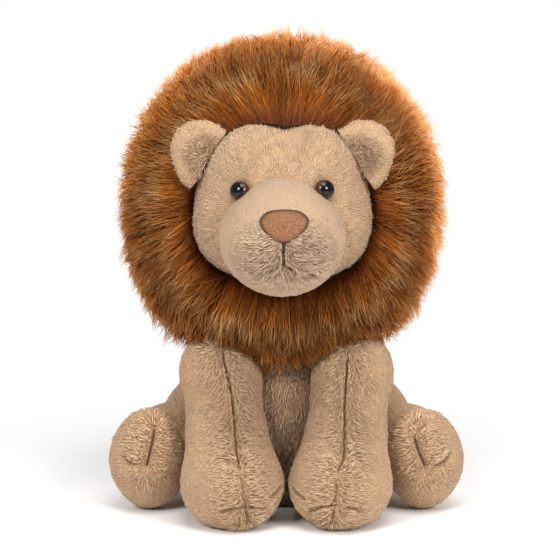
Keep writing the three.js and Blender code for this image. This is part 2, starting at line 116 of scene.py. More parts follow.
PAPER_GREY = 0.93
SWEEP_START, SWEEP_END = 0.17, 0.38
floor_mesh = bpy.data.meshes.new("floor")
floor_mesh.from_pydata([(-8, -6, 0), (8, -6, 0), (8, 10, 0), (-8, 10, 0)], [], [(0, 1, 2, 3)])
floor = bpy.data.objects.new("floor", floor_mesh)
bpy.context.scene.collection.objects.link(floor)
paper, tree = new_material("white_backdrop_paper")
sheet = node(tree, "ShaderNodeBsdfDiffuse", {"Color": (PAPER_GREY, PAPER_GREY, PAPER_GREY, 1)}, {})
bright = node(tree, "ShaderNodeEmission", {"Color": (1, 1, 1, 1), "Strength": 1.0}, {})
spot = node(tree, "ShaderNodeTexCoord", {}, {})
reach = node(tree, "ShaderNodeVectorMath", {"operation": "LENGTH"}, {"Vector": spot.outputs["Object"]})
limits = {"interpolation_type": "SMOOTHSTEP", "From Min": SWEEP_START, "From Max": SWEEP_END}
far = node(tree, "ShaderNodeMapRange", limits, {"Value": reach.outputs["Value"]})
seen = node(tree, "ShaderNodeLightPath", {}, {})
both = {0: far.outputs["Result"], 1: seen.outputs["Is Camera Ray"]}
share = node(tree, "ShaderNodeMath", {"operation": "MULTIPLY"}, both)
mixed = {"Fac": share.outputs["Value"], 1: sheet.outputs["BSDF"], 2: bright.outputs["Emission"]}
paper_shader = node(tree, "ShaderNodeMixShader", {}, mixed)
node(tree, "ShaderNodeOutputMaterial", {}, {"Surface": paper_shader.outputs["Shader"]})
floor_mesh.materials.append(paper)

# The body: a pear of short beige plush, stuffed and closed by a seam down the back, with the neck's
# gathered stub on top. The legs are sewn into it, so its fabric dips where they sit.
MM = 0.001
PILE_INSET = 1.2
BODY_BACK = 9
BODY_DEPTH = 0.86
BODY_PROFILE = [
    (0, -0.5), (42, -0.5), (53.3, 13.3), (60, 40), (55.8, 64), (46, 88), (34, 104), (26.5, 112), (24, 119),
    (14, 123.5), (0, 125),
]
NECK_RADIUS = 27.6
NECK_HEIGHT = 110.3
SHOULDER = np.array([41.5, -38, 86])
SHOULDER_RADIUS = 25.5
HIP = np.array([45, 20, 43.5])
HIP_RADIUS = 41
HIP_FACE = 38
PLUSH_TIPS = "#EDCDA9"
PLUSH_MIDDLE = "#D4B18C"
PLUSH_ROOTS = "#8C6643"
TUFT_SHAPE = (1.0, 0.72)
ROOT_SUNK = 0.4
FLOOR_GAP = 0.5
# The width of the painted shade along a seam, in mm
SEAM_SHADE_WIDTH = 0.9


def linear(code):
    """The linear colour of an sRGB hex code."""
    parts = [int(code[k:k + 2], 16) / 255 for k in (1, 3, 5)]
    return tuple(p / 12.92 if p <= 0.04045 else ((p + 0.055) / 1.055) ** 2.4 for p in parts) + (1.0,)


def unit(v):
    """Vectors divided by their own lengths."""
    return v / np.maximum(np.linalg.norm(v, axis=-1, keepdims=True), 1e-9)


def circles(count, side, other):
    """Unit circles of a number of directions, from each side direction towards its other one."""
    turn = np.linspace(0, 2 * math.pi, count, endpoint=False)[:, None]
    return np.cos(turn) * side[..., None, :] + np.sin(turn) * other[..., None, :]


def ripple(points, size, seed):
    """A smooth field between about -1 and 1: the mean of eight sine waves in random directions,
    whose wavelengths are near size."""
    dice = np.random.default_rng(seed)
    waves = unit(dice.normal(size=(8, 3))) * (2 * math.pi / size) * dice.uniform(0.6, 1.5, (8, 1))
    turns = dice.uniform(0, 2 * math.pi, 8)
    return np.sin(points @ waves.T + turns).mean(axis=-1) * 2.2


def curve(points, t):
    """Catmull-Rom: places at t, from 0 to 1, on a smooth curve through evenly timed points."""
    p = np.asarray(points, float)
    p = np.concatenate([[2 * p[0] - p[1]], p, [2 * p[-1] - p[-2]]])
    x = np.clip(np.asarray(t), 0, 1) * (len(p) - 3)
    k = np.minimum(x.astype(int), len(p) - 4)
    f = (x - k)[..., None]
    a, b, c, d = p[k], p[k + 1], p[k + 2], p[k + 3]
    return 0.5 * (2 * b + (c - a) * f + (2 * a - 5 * b + 4 * c - d) * f ** 2 + (3 * b - a - 3 * c + d) * f ** 3)


def ball(points, centre, radii):
    """How far points lie outside an ellipsoid: k (k - 1) / g, where k is the length of p / r
    and g that of p / r squared."""
    offset = points - np.asarray(centre, float)
    radii = np.ones(3) * radii
    k = np.linalg.norm(offset / radii, axis=-1)
    g = np.linalg.norm(offset / radii ** 2, axis=-1)
    return k * (k - 1) / np.maximum(g, 1e-9)


def tube(points, start, end, first, last):
    """How far points lie outside a tube from start to end whose radius runs from first to last."""
    start, end = np.asarray(start, float), np.asarray(end, float)
    way = end - start
    share = np.clip((points - start) @ way / (way @ way), 0, 1)
    return np.linalg.norm(points - start - share[..., None] * way, axis=-1) - first - share * (last - first)


def meld(a, b, soft):
    """Two forms in one: the smaller of two distances, rounded over a width where they are alike."""
    share = np.clip(0.5 + 0.5 * (b - a) / soft, 0, 1)
    return b + (a - b) * share - soft * share * (1 - share)


def carve(a, b, soft):
    """A form without another: the first kept only where the second isn't, rounded over a width."""
    return -meld(-a, b, soft)


def wrap(spine, across, form, rows, columns, reach):
    """The skin of a stuffed form as a grid of places, closed round its columns and drawn together
    at both ends. Rays leave the spine square to it and fan out over its ends; each ends where form
    turns positive, found by steps and then by halving. Each column is spaced evenly."""
    dense = 3 * rows
    cap = dense // 3
    share = np.concatenate([np.zeros(cap), np.linspace(0, 1, dense - 2 * cap), np.ones(cap)])
    quarter = np.linspace(0, math.pi / 2, cap + 1)
    tilt = np.concatenate([quarter[:-1], np.full(dense - 2 * cap, math.pi / 2), math.pi - quarter[:-1][::-1]])
    near = 1e-3
    origin = curve(spine, share)
    along = unit(curve(spine, share + near) - curve(spine, share - near))
    side = unit(np.asarray(across, float) - (along @ np.asarray(across, float))[:, None] * along)
    radial = circles(columns, side, np.cross(along, side))
    tilt = tilt[:, None, None]
    ray = np.sin(tilt) * radial - np.cos(tilt) * along[:, None]
    origin = origin[:, None] + 0 * ray
    steps = np.linspace(0, reach, 40)
    found = np.zeros(ray.shape[:2])
    open_ = np.ones(ray.shape[:2], bool)
    for step in steps:
        outside = form(origin + step * ray) > 0
        found = np.where(open_ & ~outside, step, found)
        open_ &= ~outside
    low, high = found, found + steps[1]
    for _ in range(12):
        middle = (low + high) / 2
        outside = form(origin + middle[..., None] * ray) > 0
        low, high = np.where(outside, low, middle), np.where(outside, middle, high)
    skin = origin + low[..., None] * ray
    length = np.linalg.norm(np.diff(skin, axis=0), axis=-1)
    length = np.concatenate([np.zeros((1, columns)), np.cumsum(length, axis=0)])
    evenly = np.linspace(0, 1, rows + 1)
    even = np.empty((rows + 1, columns, 3))
    for k in range(columns):
        for axis in range(3):
            even[:, k, axis] = np.interp(evenly * length[-1, k], length[:, k], skin[:, k, axis])
    return even


def facing(skin):
    """Outward normals of a grid: the product of its differences along and round, turned outwards."""
    down = np.gradient(skin, axis=0)
    round_ = np.roll(skin, -1, 1) - np.roll(skin, 1, 1)
    normal = unit(np.cross(round_, down))
    normal[0] = unit(normal[1].mean(axis=0))
    normal[-1] = unit(normal[-2].mean(axis=0))
    middle = skin.reshape(-1, 3).mean(axis=0)
    return normal if ((skin - middle) * normal).sum() > 0 else -normal


def line_gap(points, line):
    """For each point the distance to a line of points and the vector away from it."""
    line = np.asarray(line, float)
    best = np.full(points.shape[:-1], 1e9)
    away = np.zeros(points.shape)
    for a, b in zip(line[:-1], line[1:]):
        share = np.clip((points - a) @ (b - a) / ((b - a) @ (b - a)), 0, 1)
        offset = points - a - share[..., None] * (b - a)
        gap = np.linalg.norm(offset, axis=-1)
        away = np.where((gap < best)[..., None], offset, away)
        best = np.minimum(best, gap)
    return best, away


def nearness(points, line, width):
    """One on a line and less beside it: exp(-(gap / width) squared)."""
    return np.exp(-(line_gap(points, line)[0] / width) ** 2)


def crease(skin, lines):
    """Draws a grid in along lines of (points, width, depth), by the most of depth times nearness."""
    sunk = np.max([depth * nearness(skin, line, width) for line, width, depth in lines], axis=0)
    return skin - sunk[..., None] * facing(skin)


def pile(skin, spacing, length, lean, comb, lines, seed, width, unrest=0.2, shade=None, kept_share=None):
    """Places (tuft, step, axis), widths and tones of the tufts on a grid. Each cell gets its area
    over spacing squared; a tuft has the length for its root, leaves it at lean to the normal along
    comb laid on the skin and turned by a ripple, and bends over towards its tip. Lines are (points,
    reach, clear): within reach of a seam it is shorter and leans away, and it keeps clear of it.
    Roots whose length is nothing get no tuft, and where a share of them is kept, they are wider.
    Length and lean are functions of the roots, or one number; comb takes the roots and normals."""
    dice = np.random.default_rng(seed)
    normals = facing(skin)
    first, second = skin[:-1], skin[1:]
    cross = np.cross(np.roll(second, -1, 1) - first, second - np.roll(first, -1, 1))
    area = 0.5 * np.linalg.norm(cross, axis=-1)
    count = np.floor(area / spacing ** 2 + dice.random(area.shape)).astype(int).ravel()
    cell = np.repeat(np.arange(area.size), count)
    u, v = dice.random((2, len(cell), 1))
    row, column = np.divmod(cell, skin.shape[1])
    after = (column + 1) % skin.shape[1]

    def at(grid):
        top = grid[row, column] * (1 - v) + grid[row, after] * v
        return top * (1 - u) + (grid[row + 1, column] * (1 - v) + grid[row + 1, after] * v) * u

    def given(rule):
        return rule(root) if callable(rule) else np.full(len(root), float(rule))

    root, up = at(skin), unit(at(normals))
    share = kept_share(root) if kept_share else np.ones(len(root))
    kept = (given(length) > 0) & (dice.random(len(root)) < share)
    for line, _, clear in lines:
        kept &= line_gap(root, line)[0] > clear
    root, up, share = root[kept], up[kept], share[kept]
    lay = comb(root, up)
    size = given(length) * (1 + 0.22 * ripple(root, 9, seed + 1)) * dice.uniform(0.75, 1.2, len(root))
    turned = unrest * ripple(root, 8, seed + 2) + dice.normal(0, 0.2, len(root))
    tilt = given(lean) + 0.16 * ripple(root, 7, seed + 3) + dice.normal(0, 0.08, len(root))
    for line, reach, _ in lines:
        gap, away = line_gap(root, line)
        close = np.exp(-(gap / (1.2 * reach)) ** 2)[:, None]
        lay = lay * (1 - 0.7 * close) + 1.1 * close * unit(away + dice.normal(0, 0.3, away.shape))
        size = size * (1 - 0.35 * close[:, 0])
    lay = unit(lay - (lay * up).sum(-1, keepdims=True) * up)
    lay = np.cos(turned)[:, None] * lay + np.sin(turned)[:, None] * np.cross(up, lay)
    places = [root - ROOT_SUNK * up]
    for bend in (np.minimum(tilt - 0.1, 1.4), np.minimum(tilt + 0.18, 1.5)):
        way = np.cos(bend)[:, None] * up + np.sin(bend)[:, None] * lay
        places.append(places[-1] + 0.5 * size[:, None] * way)
    tone = 0.5 + 0.2 * ripple(root, 5, seed + 4) + 0.1 * ripple(root, 30, seed + 5)
    tone = np.clip(tone + dice.normal(0, 0.15, len(root)), 0, 1) + (shade(root) if shade else 0)
    places = np.stack(places, axis=1)
    places[..., 2] = np.maximum(places[..., 2], FLOOR_GAP)
    return places, width * dice.uniform(0.75, 1.3, len(root)) / np.sqrt(share), tone


def tufts(places, width, shape):
    """Closed three-sided spikes along tufts: rings of radius width times shape, then the tip.
    Gives points, triangles, the share along, and a map in which each tuft has its own cell."""
    count, rings = places.shape[0], places.shape[1] - 1
    way = unit(places[:, -1] - places[:, 0])
    side = unit(np.cross(way, np.array([0.31, 0.52, 0.79])))
    circle = circles(3, side, np.cross(way, side))
    radius = width[:, None] * np.asarray(shape)[None, :]
    ring = places[:, :rings, None] + radius[:, :, None, None] * circle[:, None]
    points = np.concatenate([ring.reshape(count, 3 * rings, 3), places[:, -1:]], axis=1)
    corners, spots = [(0, 2, 1)], [((0, 0), (2, 0), (1, 0))]
    for k in range(rings - 1):
        for s in range(3):
            a, b, c, d = 3 * k + s, 3 * k + (s + 1) % 3, 3 * k + 3 + (s + 1) % 3, 3 * k + 3 + s
            corners += [(a, b, c), (a, c, d)]
            spots += [((s, k), (s + 1, k), (s + 1, k + 1)), ((s, k), (s + 1, k + 1), (s, k + 1))]
    for s in range(3):
        corners.append((3 * rings - 3 + s, 3 * rings - 3 + (s + 1) % 3, 3 * rings))
        spots.append(((s, rings - 1), (s + 1, rings - 1), (s + 0.5, rings)))
    each = 3 * rings + 1
    faces = np.array(corners)[None] + each * np.arange(count)[:, None, None]
    wide = math.ceil(math.sqrt(count))
    cell = np.stack([np.arange(count) % wide, np.arange(count) // wide], axis=-1)[:, None, None]
    inside = 0.12 + 0.76 * np.array(spots) / np.array([3.0, rings])
    flat = (cell + inside[None]) / wide * np.array([1.0, 0.74]) + np.array([0, 0.26])
    along = np.tile(np.append(np.repeat(np.linspace(0, 1, rings, endpoint=False), 3), 1.0), count)
    return points.reshape(-1, 3), faces.reshape(-1, 3), along, flat.reshape(-1, 2), each


def grid_faces(skin):
    """Points, triangles and a map of a grid whose first and last rows are single places. The
    triangles are turned outwards, by the sign of the volume that they enclose."""
    rows, columns = skin.shape[0] - 1, skin.shape[1]
    points = np.concatenate([skin[:1, 0], skin[1:rows].reshape(-1, 3), skin[rows:, 0]])
    last = len(points) - 1
    k = np.arange(columns)
    after = (k + 1) % columns
    r = np.arange(rows - 2)[:, None]
    a, b = 1 + r * columns + k, 1 + r * columns + after
    quads = np.stack([a, b, b + columns, a + columns], axis=-1).reshape(-1, 4)
    tops = np.stack([0 * k, 1 + after, 1 + k], axis=-1)
    foot = 1 + (rows - 2) * columns
    ends = np.stack([0 * k + last, foot + k, foot + after], axis=-1)
    faces = np.concatenate([quads[:, [0, 1, 2]], quads[:, [0, 2, 3]], tops, ends])
    u, v = k / columns, (r + 1) / rows

    def spots(across, down):
        return np.stack([across + 0 * down, down + 0 * across], axis=-1).reshape(-1, 2)

    step = 1 / columns
    around = [spots(u, v), spots(u + step, v), spots(u + step, v + 1 / rows), spots(u, v + 1 / rows)]
    high, low = 0 * u + 1 / rows, 0 * u + 1 - 1 / rows
    flat = np.concatenate([
        np.stack([around[0], around[1], around[2]], axis=1),
        np.stack([around[0], around[2], around[3]], axis=1),
        np.stack([spots(u + step / 2, 0 * u), spots(u + step, high), spots(u, high)], axis=1),
        np.stack([spots(u + step / 2, 0 * u + 1), spots(u, low), spots(u + step, low)], axis=1),
    ])
    a, b, c = (points[faces[:, k]] - points.mean(axis=0) for k in range(3))
    if (a * np.cross(b, c)).sum() <= 0:
        faces, flat = faces[:, ::-1], flat[:, ::-1]
    return points, faces, (0.01 + flat * np.array([0.98, 0.23])).reshape(-1, 2)


def add_mesh(name, points, faces, material, flat=None, values=None):
    """Puts arrays in millimetres into a smooth mesh object, with its map and its point values."""
    mesh = bpy.data.meshes.new(name)
    mesh.vertices.add(len(points))
    mesh.vertices.foreach_set("co", (np.asarray(points, np.float32) * MM).ravel())
    mesh.loops.add(3 * len(faces))
    mesh.loops.foreach_set("vertex_index", np.asarray(faces, np.int32).ravel())
    mesh.polygons.add(len(faces))
    mesh.polygons.foreach_set("loop_start", np.arange(0, 3 * len(faces), 3, dtype=np.int32))
    mesh.update(calc_edges=True)
    mesh.validate()
    mesh.shade_smooth()
    if flat is not None:
        layer = mesh.uv_layers.new(name="OFBake")
        layer.data.foreach_set("uv", np.asarray(flat, np.float32).ravel())
    for key, value in (values or {}).items():
        mesh.attributes.new(key, "FLOAT", "POINT").data.foreach_set("value", np.asarray(value, np.float32))
    mesh.materials.append(material)
    piece = bpy.data.objects.new(name, mesh)
    bpy.context.scene.collection.objects.link(piece)
    return piece


def plush_piece(name, skin, tuft, material, lines=(), root=0.0, shade=None):
    """One cover: its backing cloth from the grid, and its pile of tufts, in one mesh. The cloth is
    darkened along its seams by the nearness, as painted shade in the seams, and tufts start at the root's
    share."""
    points, faces, flat = grid_faces(skin)
    seam_shade = np.max([np.zeros(len(points))] + [nearness(points, line[0], SEAM_SHADE_WIDTH) for line in lines], axis=0)
    places, width, tone = tuft
    spikes, more, along, cells, each = tufts(places, width, TUFT_SHAPE)
    # Painted shade darkens the cloth along the seams; the piece's shade rule is added to it
    cloth_tone = 0.35 - 0.9 * seam_shade + (shade(points) if shade else 0)
    values = {
        "along": np.concatenate([0.25 * (1 - seam_shade), root + (1 - root) * along]),
        "tone": np.concatenate([cloth_tone, np.repeat(tone, each)]),
    }
    faces, flat = np.concatenate([faces, more + len(points)]), np.concatenate([flat, cells])
    return add_mesh(name, np.concatenate([points, spikes]), faces, material, flat, values)


def stops(ramp, colours):
    """Puts sRGB colours on a new colour ramp, each at its share of the way."""
    first, *between, last = sorted(colours.items())
    for element, (place, code) in zip(ramp.color_ramp.elements, (first, last)):
        element.position, element.color = place, linear(code)
    for place, code in between:
        ramp.color_ramp.elements.new(place).color = linear(code)


def pile_material(name, roots, middle, tips, sheen, gloss):
    """Dyed pile: from roots to tips by the share along a tuft, each tuft darker or lighter by its
    own tone, with broad faint patches from noise 40 mm wide."""
    material, tree = new_material(name)
    along = node(tree, "ShaderNodeAttribute", {"attribute_name": "along"}, {})
    tone = node(tree, "ShaderNodeAttribute", {"attribute_name": "tone"}, {})
    ramp = node(tree, "ShaderNodeValToRGB", {}, {"Fac": along.outputs["Fac"]})
    stops(ramp, {0: roots, 0.5: middle, 1: tips})
    place = node(tree, "ShaderNodeTexCoord", {}, {})
    vector = {"Vector": place.outputs["Object"]}
    broad = node(tree, "ShaderNodeTexNoise", {"Scale": 25.0, "Detail": 2.0}, vector)
    limits = {"To Min": -0.06, "To Max": 0.06}
    patch = node(tree, "ShaderNodeMapRange", limits, {"Value": broad.outputs["Fac"]})
    limits = {"clamp": False, "To Min": 0.72, "To Max": 1.22}
    each = node(tree, "ShaderNodeMapRange", limits, {"Value": tone.outputs["Fac"]})
    both = {0: each.outputs["Result"], 1: patch.outputs["Result"]}
    value = node(tree, "ShaderNodeMath", {"operation": "ADD"}, both)
    dyed = {"Color": ramp.outputs["Color"], "Value": value.outputs["Value"]}
    colour = node(tree, "ShaderNodeHueSaturation", {}, dyed)
    surface = {"Roughness": gloss, "Specular IOR Level": 0.25, "Sheen Weight": sheen, "Sheen Roughness": 0.5}
    shader = node(tree, "ShaderNodeBsdfPrincipled", surface, {"Base Color": colour.outputs["Color"]})
    node(tree, "ShaderNodeOutputMaterial", {}, {"Surface": shader.outputs["BSDF"]})
    return material


# Short beige pile on a knitted back: darker at the root, pale at the tip
beige_plush = pile_material("beige_plush", PLUSH_ROOTS, PLUSH_MIDDLE, PLUSH_TIPS, 0.15, 0.9)


def shoulder_ball(points):
    """The stuffed ball at the top of either front leg."""
    fold = points * np.array([-1, 1, 1])
    return np.minimum(ball(points, SHOULDER, SHOULDER_RADIUS), ball(fold, SHOULDER, SHOULDER_RADIUS))


def haunch_room(points):
    """The round recess of either haunch: a cylinder along X outside the flat at the hip."""
    round_ = np.hypot(points[..., 1] - HIP[1], points[..., 2] - HIP[2]) - HIP_RADIUS
    return np.maximum(round_, HIP_FACE - np.abs(points[..., 0]))


def body_pear(points):
    """The pear by its profile: the radius across, less the profile's radius at that height."""
    heights = np.array([z for _, z in BODY_PROFILE])
    t = np.linspace(0, 1, 200)
    smooth = curve(np.array([(r, 0, z) for r, z in BODY_PROFILE[1:]]), t)
    across = np.hypot(points[..., 0], (points[..., 1] - BODY_BACK) / BODY_DEPTH)
    radius = np.interp(points[..., 2], smooth[:, 2], smooth[:, 0])
    top = points[..., 2] - heights[-1]
    return np.maximum(np.maximum(0.9 * (across - radius), top), -points[..., 2])


def body_form(points):
    """The body without its sockets, drawn in by the height of its pile."""
    solid = carve(body_pear(points), shoulder_ball(points), 3)
    return carve(solid, haunch_room(points), 3) + PILE_INSET


def chest_painted_shade(points):
    """Painted shade between the front legs: the pile's tone is lowered by the depth in there and under the
    mane.
    """
    low = np.clip((94 - points[:, 2]) / 42, 0, 1)
    inside = np.clip((34 - np.abs(points[:, 0])) / 8, 0, 1) * np.clip((-8 - points[:, 1]) / 12, 0, 1)
    return -0.8 * inside * low ** 1.5


def body_length(points):
    """The pile is 6 mm long on the chest and 4.5 mm on the back, and pressed down to a quarter where a
    leg lies on the body."""
    gap = np.minimum(shoulder_ball(points), haunch_room(points))
    return (6 - 1.5 * np.clip(points[:, 1] / 20, 0, 1)) * np.clip(0.25 + gap / 4, 0.25, 1)


def hang(points, normals):
    """Pile combed downwards and a little outwards."""
    return np.array([0, 0, -1.0]) + 0.25 * normals * np.array([1, 1, 0])


back_seam = [(0, BODY_BACK + BODY_DEPTH * (r - PILE_INSET), z) for r, z in BODY_PROFILE[1:9]]
body_spine = [(0, 10, 18), (0, 10, 60), (0, 11, 112)]
body_skin = wrap(body_spine, (1, 0, 0), body_form, 90, 120, 75)
turn = np.linspace(0, 2 * math.pi, 41)
neck_line = np.stack([
    NECK_RADIUS * np.cos(turn),
    BODY_BACK + NECK_RADIUS * BODY_DEPTH * np.sin(turn),
    NECK_HEIGHT + 0 * turn,
], axis=-1)
body_skin = crease(body_skin, [(back_seam, 3, 1.6), (neck_line, 2.5, 2)])
body_lines = [(back_seam, 2.2, 0.4)]
# The pile low between the front legs is darkened as painted shade, cloth and tufts alike
body = plush_piece(
    "body_plush",
    body_skin,
    pile(body_skin, 1.7, body_length, 1.05, hang, body_lines, 11, width=0.44, shade=chest_painted_shade),
    beige_plush,
    body_lines,
    shade=chest_painted_shade,
)
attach(body, "torso")
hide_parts("body_cover")


def patterned(name, textures, colours, surface, bump=None):
    """A material whose colour runs between two by its texture, or by the most of several, and which
    a bump of (strength, distance) raises by the same."""
    material, tree = new_material(name)
    place = node(tree, "ShaderNodeTexCoord", {}, {})
    vector = {"Vector": place.outputs["Object"]}
    found = [node(tree, kind, settings, vector).outputs["Fac"] for kind, settings in textures]
    pattern = found[0]
    for other in found[1:]:
        most = node(tree, "ShaderNodeMath", {"operation": "MAXIMUM"}, {0: pattern, 1: other})
        pattern = most.outputs["Value"]
    colour = node(tree, "ShaderNodeValToRGB", {}, {"Fac": pattern})
    stops(colour, {0: colours[0], 1: colours[1]})
    links = {"Base Color": colour.outputs["Color"]}
    if bump:
        raised = node(tree, "ShaderNodeBump", {"Strength": bump[0], "Distance": bump[1]}, {"Height": pattern})
        links["Normal"] = raised.outputs["Normal"]
    shader = node(tree, "ShaderNodeBsdfPrincipled", surface, links)
    node(tree, "ShaderNodeOutputMaterial", {}, {"Surface": shader.outputs["BSDF"]})
    return material


# Loose polyester stuffing fills the cover: white crimped fibre, matt, mottled about every millimetre
STUFFING_DEPTH = 4.5
fibre = patterned(
    "polyester_fibre",
    [("ShaderNodeTexNoise", {"Scale": 900.0, "Detail": 4.0})],
    ("#D8D5CC", "#F4F2EC"),
    {"Roughness": 0.95, "Specular IOR Level": 0.2},
    (0.5, 0.0005),
)


def stuff(name, spine, form, reach, body_name, node_name, side=1, across=(1, 0, 0)):
    """The stuffing of a cover: the skin of its form, which is that of the right side, drawn in by
    the stuffing's depth, in fewer rows and columns. The side mirrors it."""
    inner = wrap(spine, across, lambda points: form(points) + STUFFING_DEPTH, 40, 48, reach)
    points, faces, flat = grid_faces(inner * np.array([side, 1, 1]))
    piece = add_mesh(name, points, faces, fibre, flat)
    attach(piece, body_name)
    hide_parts(node_name)


stuff("body_filling", body_spine, body_form, 75, "torso", "body_stuffing")

# The front legs: straight plush tubes that end in a rounded paw, each with a seam down its front
# that is gathered into a star on the paw. A stuffed ball at the top turns in the body's socket.
KNEE, KNEE_RADIUS = (39, -50, 55), 25.2
ANKLE, ANKLE_RADIUS = (35.5, -61, 24), 25
PAW, PAW_RADII = (33.8, -75, 25), (29.5, 31.5, 23.7)
SHOULDER_BUMP, BUMP_RADIUS = (47.5, -40, 97), 19
INNER_SHANK = (37.5, -52, 52), (34.5, -68, 27), 25, 25.5
SIDES = (("left", -1), ("right", 1))
FLOOR_PRESS = 1.0
LEG_INSET = 0.5
SEAM_DEPTH = 2.4
SEAM_THREAD = 0.3

# Twisted polyester thread: fine diagonal turns about 0.7 mm apart, a little shiny
brown_thread = patterned(
    "brown_polyester_thread",
    [("ShaderNodeTexWave", {"bands_direction": "DIAGONAL", "Scale": 500.0})],
    ("#3A2415", "#6B4A2E"),
    {"Roughness": 0.6, "Specular IOR Level": 0.3},
)


def thread_along(places, radius, rows, columns):
    """A thread as a grid: circles of a radius, square to a smooth curve, drawn together at its ends."""
    t = np.linspace(0, 1, rows)
    line = curve(places, t)
    way = unit(np.gradient(line, axis=0))
    side_way = unit(np.cross(way, np.array([0.11, 0.93, 0.37])))
    size = radius * np.minimum(1, 3.2 * np.sqrt(np.clip(t * (1 - t), 0, 1)))
    return line[:, None] + size[:, None, None] * circles(columns, side_way, np.cross(way, side_way))


def stitched(name, parts):
    """Grids of thread as one closed mesh, each with its own part of the map."""
    points, faces, flat = zip(*(grid_faces(part) for part in parts))
    starts = np.cumsum([0] + [len(p) for p in points])
    faces = [f + start for f, start in zip(faces, starts)]
    flat = [g * [1, 3.8 / len(parts)] + [0, k / len(parts)] for k, g in enumerate(flat)]
    return add_mesh(name, np.concatenate(points), np.concatenate(faces), brown_thread, np.concatenate(flat))


def front_leg_form(points):
    """The right front leg without its pile: shoulder ball with its outer hump, tapering shank and
    paw, kept out of the body and flat on the floor."""
    shank = tube(points, SHOULDER, KNEE, SHOULDER_RADIUS, KNEE_RADIUS)
    shank = meld(shank, tube(points, KNEE, ANKLE, KNEE_RADIUS, ANKLE_RADIUS), 3)
    shank = meld(shank, tube(points, *INNER_SHANK), 6)
    limb = carve(meld(shank, ball(points, PAW, PAW_RADII), 22), body_pear(points), 3)
    limb = meld(limb, ball(points, SHOULDER, SHOULDER_RADIUS), 3)
    limb = meld(limb, ball(points, SHOULDER_BUMP, BUMP_RADIUS), 12) + LEG_INSET
    return np.maximum(limb, FLOOR_PRESS - points[..., 2])


def on_front(form, side, places, depth=0.0):
    """Where lines of sight along +Y first meet a form, for (x, z) places seen from the front, found
    by steps and then by halving, spaced evenly and moved in by a depth along the form's slope. The
    form is that of the right side; side mirrors it."""
    mirror = np.array([side, 1, 1])
    count = 8 * len(places)
    places = curve(np.array(places, float), np.linspace(0, 1, 6 * count))
    deep = np.linspace(-150, 20, 171)
    line = np.stack(np.broadcast_arrays(places[:, None, 0] * side, deep, places[:, None, 1]), axis=-1)
    first = np.argmax(form(line) < 0, axis=1)
    high = deep[first]
    low = high - (deep[1] - deep[0])
    for _ in range(10):
        middle = (low + high) / 2
        outside = form(np.stack([places[:, 0] * side, middle, places[:, 1]], axis=-1)) > 0
        low, high = np.where(outside, middle, low), np.where(outside, high, middle)
    found = np.stack([places[:, 0], high, places[:, 1]], axis=-1)
    gone = np.append(0, np.cumsum(np.linalg.norm(np.diff(found, axis=0), axis=1) + 1e-6))
    even = np.linspace(0, gone[-1], count)
    found = np.stack([np.interp(even, gone, found[:, axis]) for axis in range(3)], axis=-1)
    steps = 0.5 * np.eye(3)
    slope = np.stack([form(found * mirror + s) - form(found * mirror - s) for s in steps], axis=-1)
    return found - depth * unit(slope) * mirror


def beside(line, near, far, width):
    """A rule for pile: the near value on a line and the far one away from it, by the nearness."""
    return lambda points: far + (near - far) * nearness(points, line, width)


def sew_leg(kind, name, side, skin, tuft, lines, thread, spine, form, reach, across=(1, 0, 0)):
    """A leg's cover, the thread in its seam and its stuffing, all on the leg's own body."""
    body_name = f"{kind}_{name}"
    leg = plush_piece(f"{body_name}_plush", skin, tuft, beige_plush, lines)
    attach(leg, body_name)
    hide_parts(f"{body_name}_cover")
    leg_thread = stitched(f"{body_name}_seam", [thread])
    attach(leg_thread, body_name)
    stuff(f"{body_name}_filling", spine, form, reach, body_name, f"{body_name}_stuffing", side, across)


leg_spine = [(41.5, -38, 92), (40.3, -45, 72), (38, -55, 49), (34, -69, 27)]
right_leg_skin = wrap(leg_spine, (1, 0, 0), front_leg_form, 110, 110, 62)
leg_seams = {
    "left": [(-40, 108), (-39.4, 103), (-34.2, 80), (-30.9, 52), (-27.9, 42)],
    "right": [(39, 108), (38.2, 98), (36.8, 80), (36, 52), (31.7, 41)],
}
leg_pinches = {
    "left": [
        [(-27.2, 37), (-26, 28), (-25, 18), (-24, 10)],
        [(-3, 26), (-7, 23.5), (-11, 22)],
        [(-40, 15), (-32, 18), (-24, 18.5), (-16, 15.5)],
    ],
    "right": [
        [(31, 36), (30.2, 27), (29.4, 18), (28.8, 10)],
        [(3.5, 26), (7, 23.5), (11, 21.5)],
        [(14, 12.5), (21, 17.5), (30, 20), (39, 18.5), (46, 14.5)],
    ],
}
GATHER_RAYS = 0.5 + np.arange(5) * 2 * math.pi / 5
GATHER_SIZE = 8


def paw_shade(points):
    """A little paler on the paw."""
    return 0.2 * np.clip((56 - points[:, 2]) / 14, 0, 1)


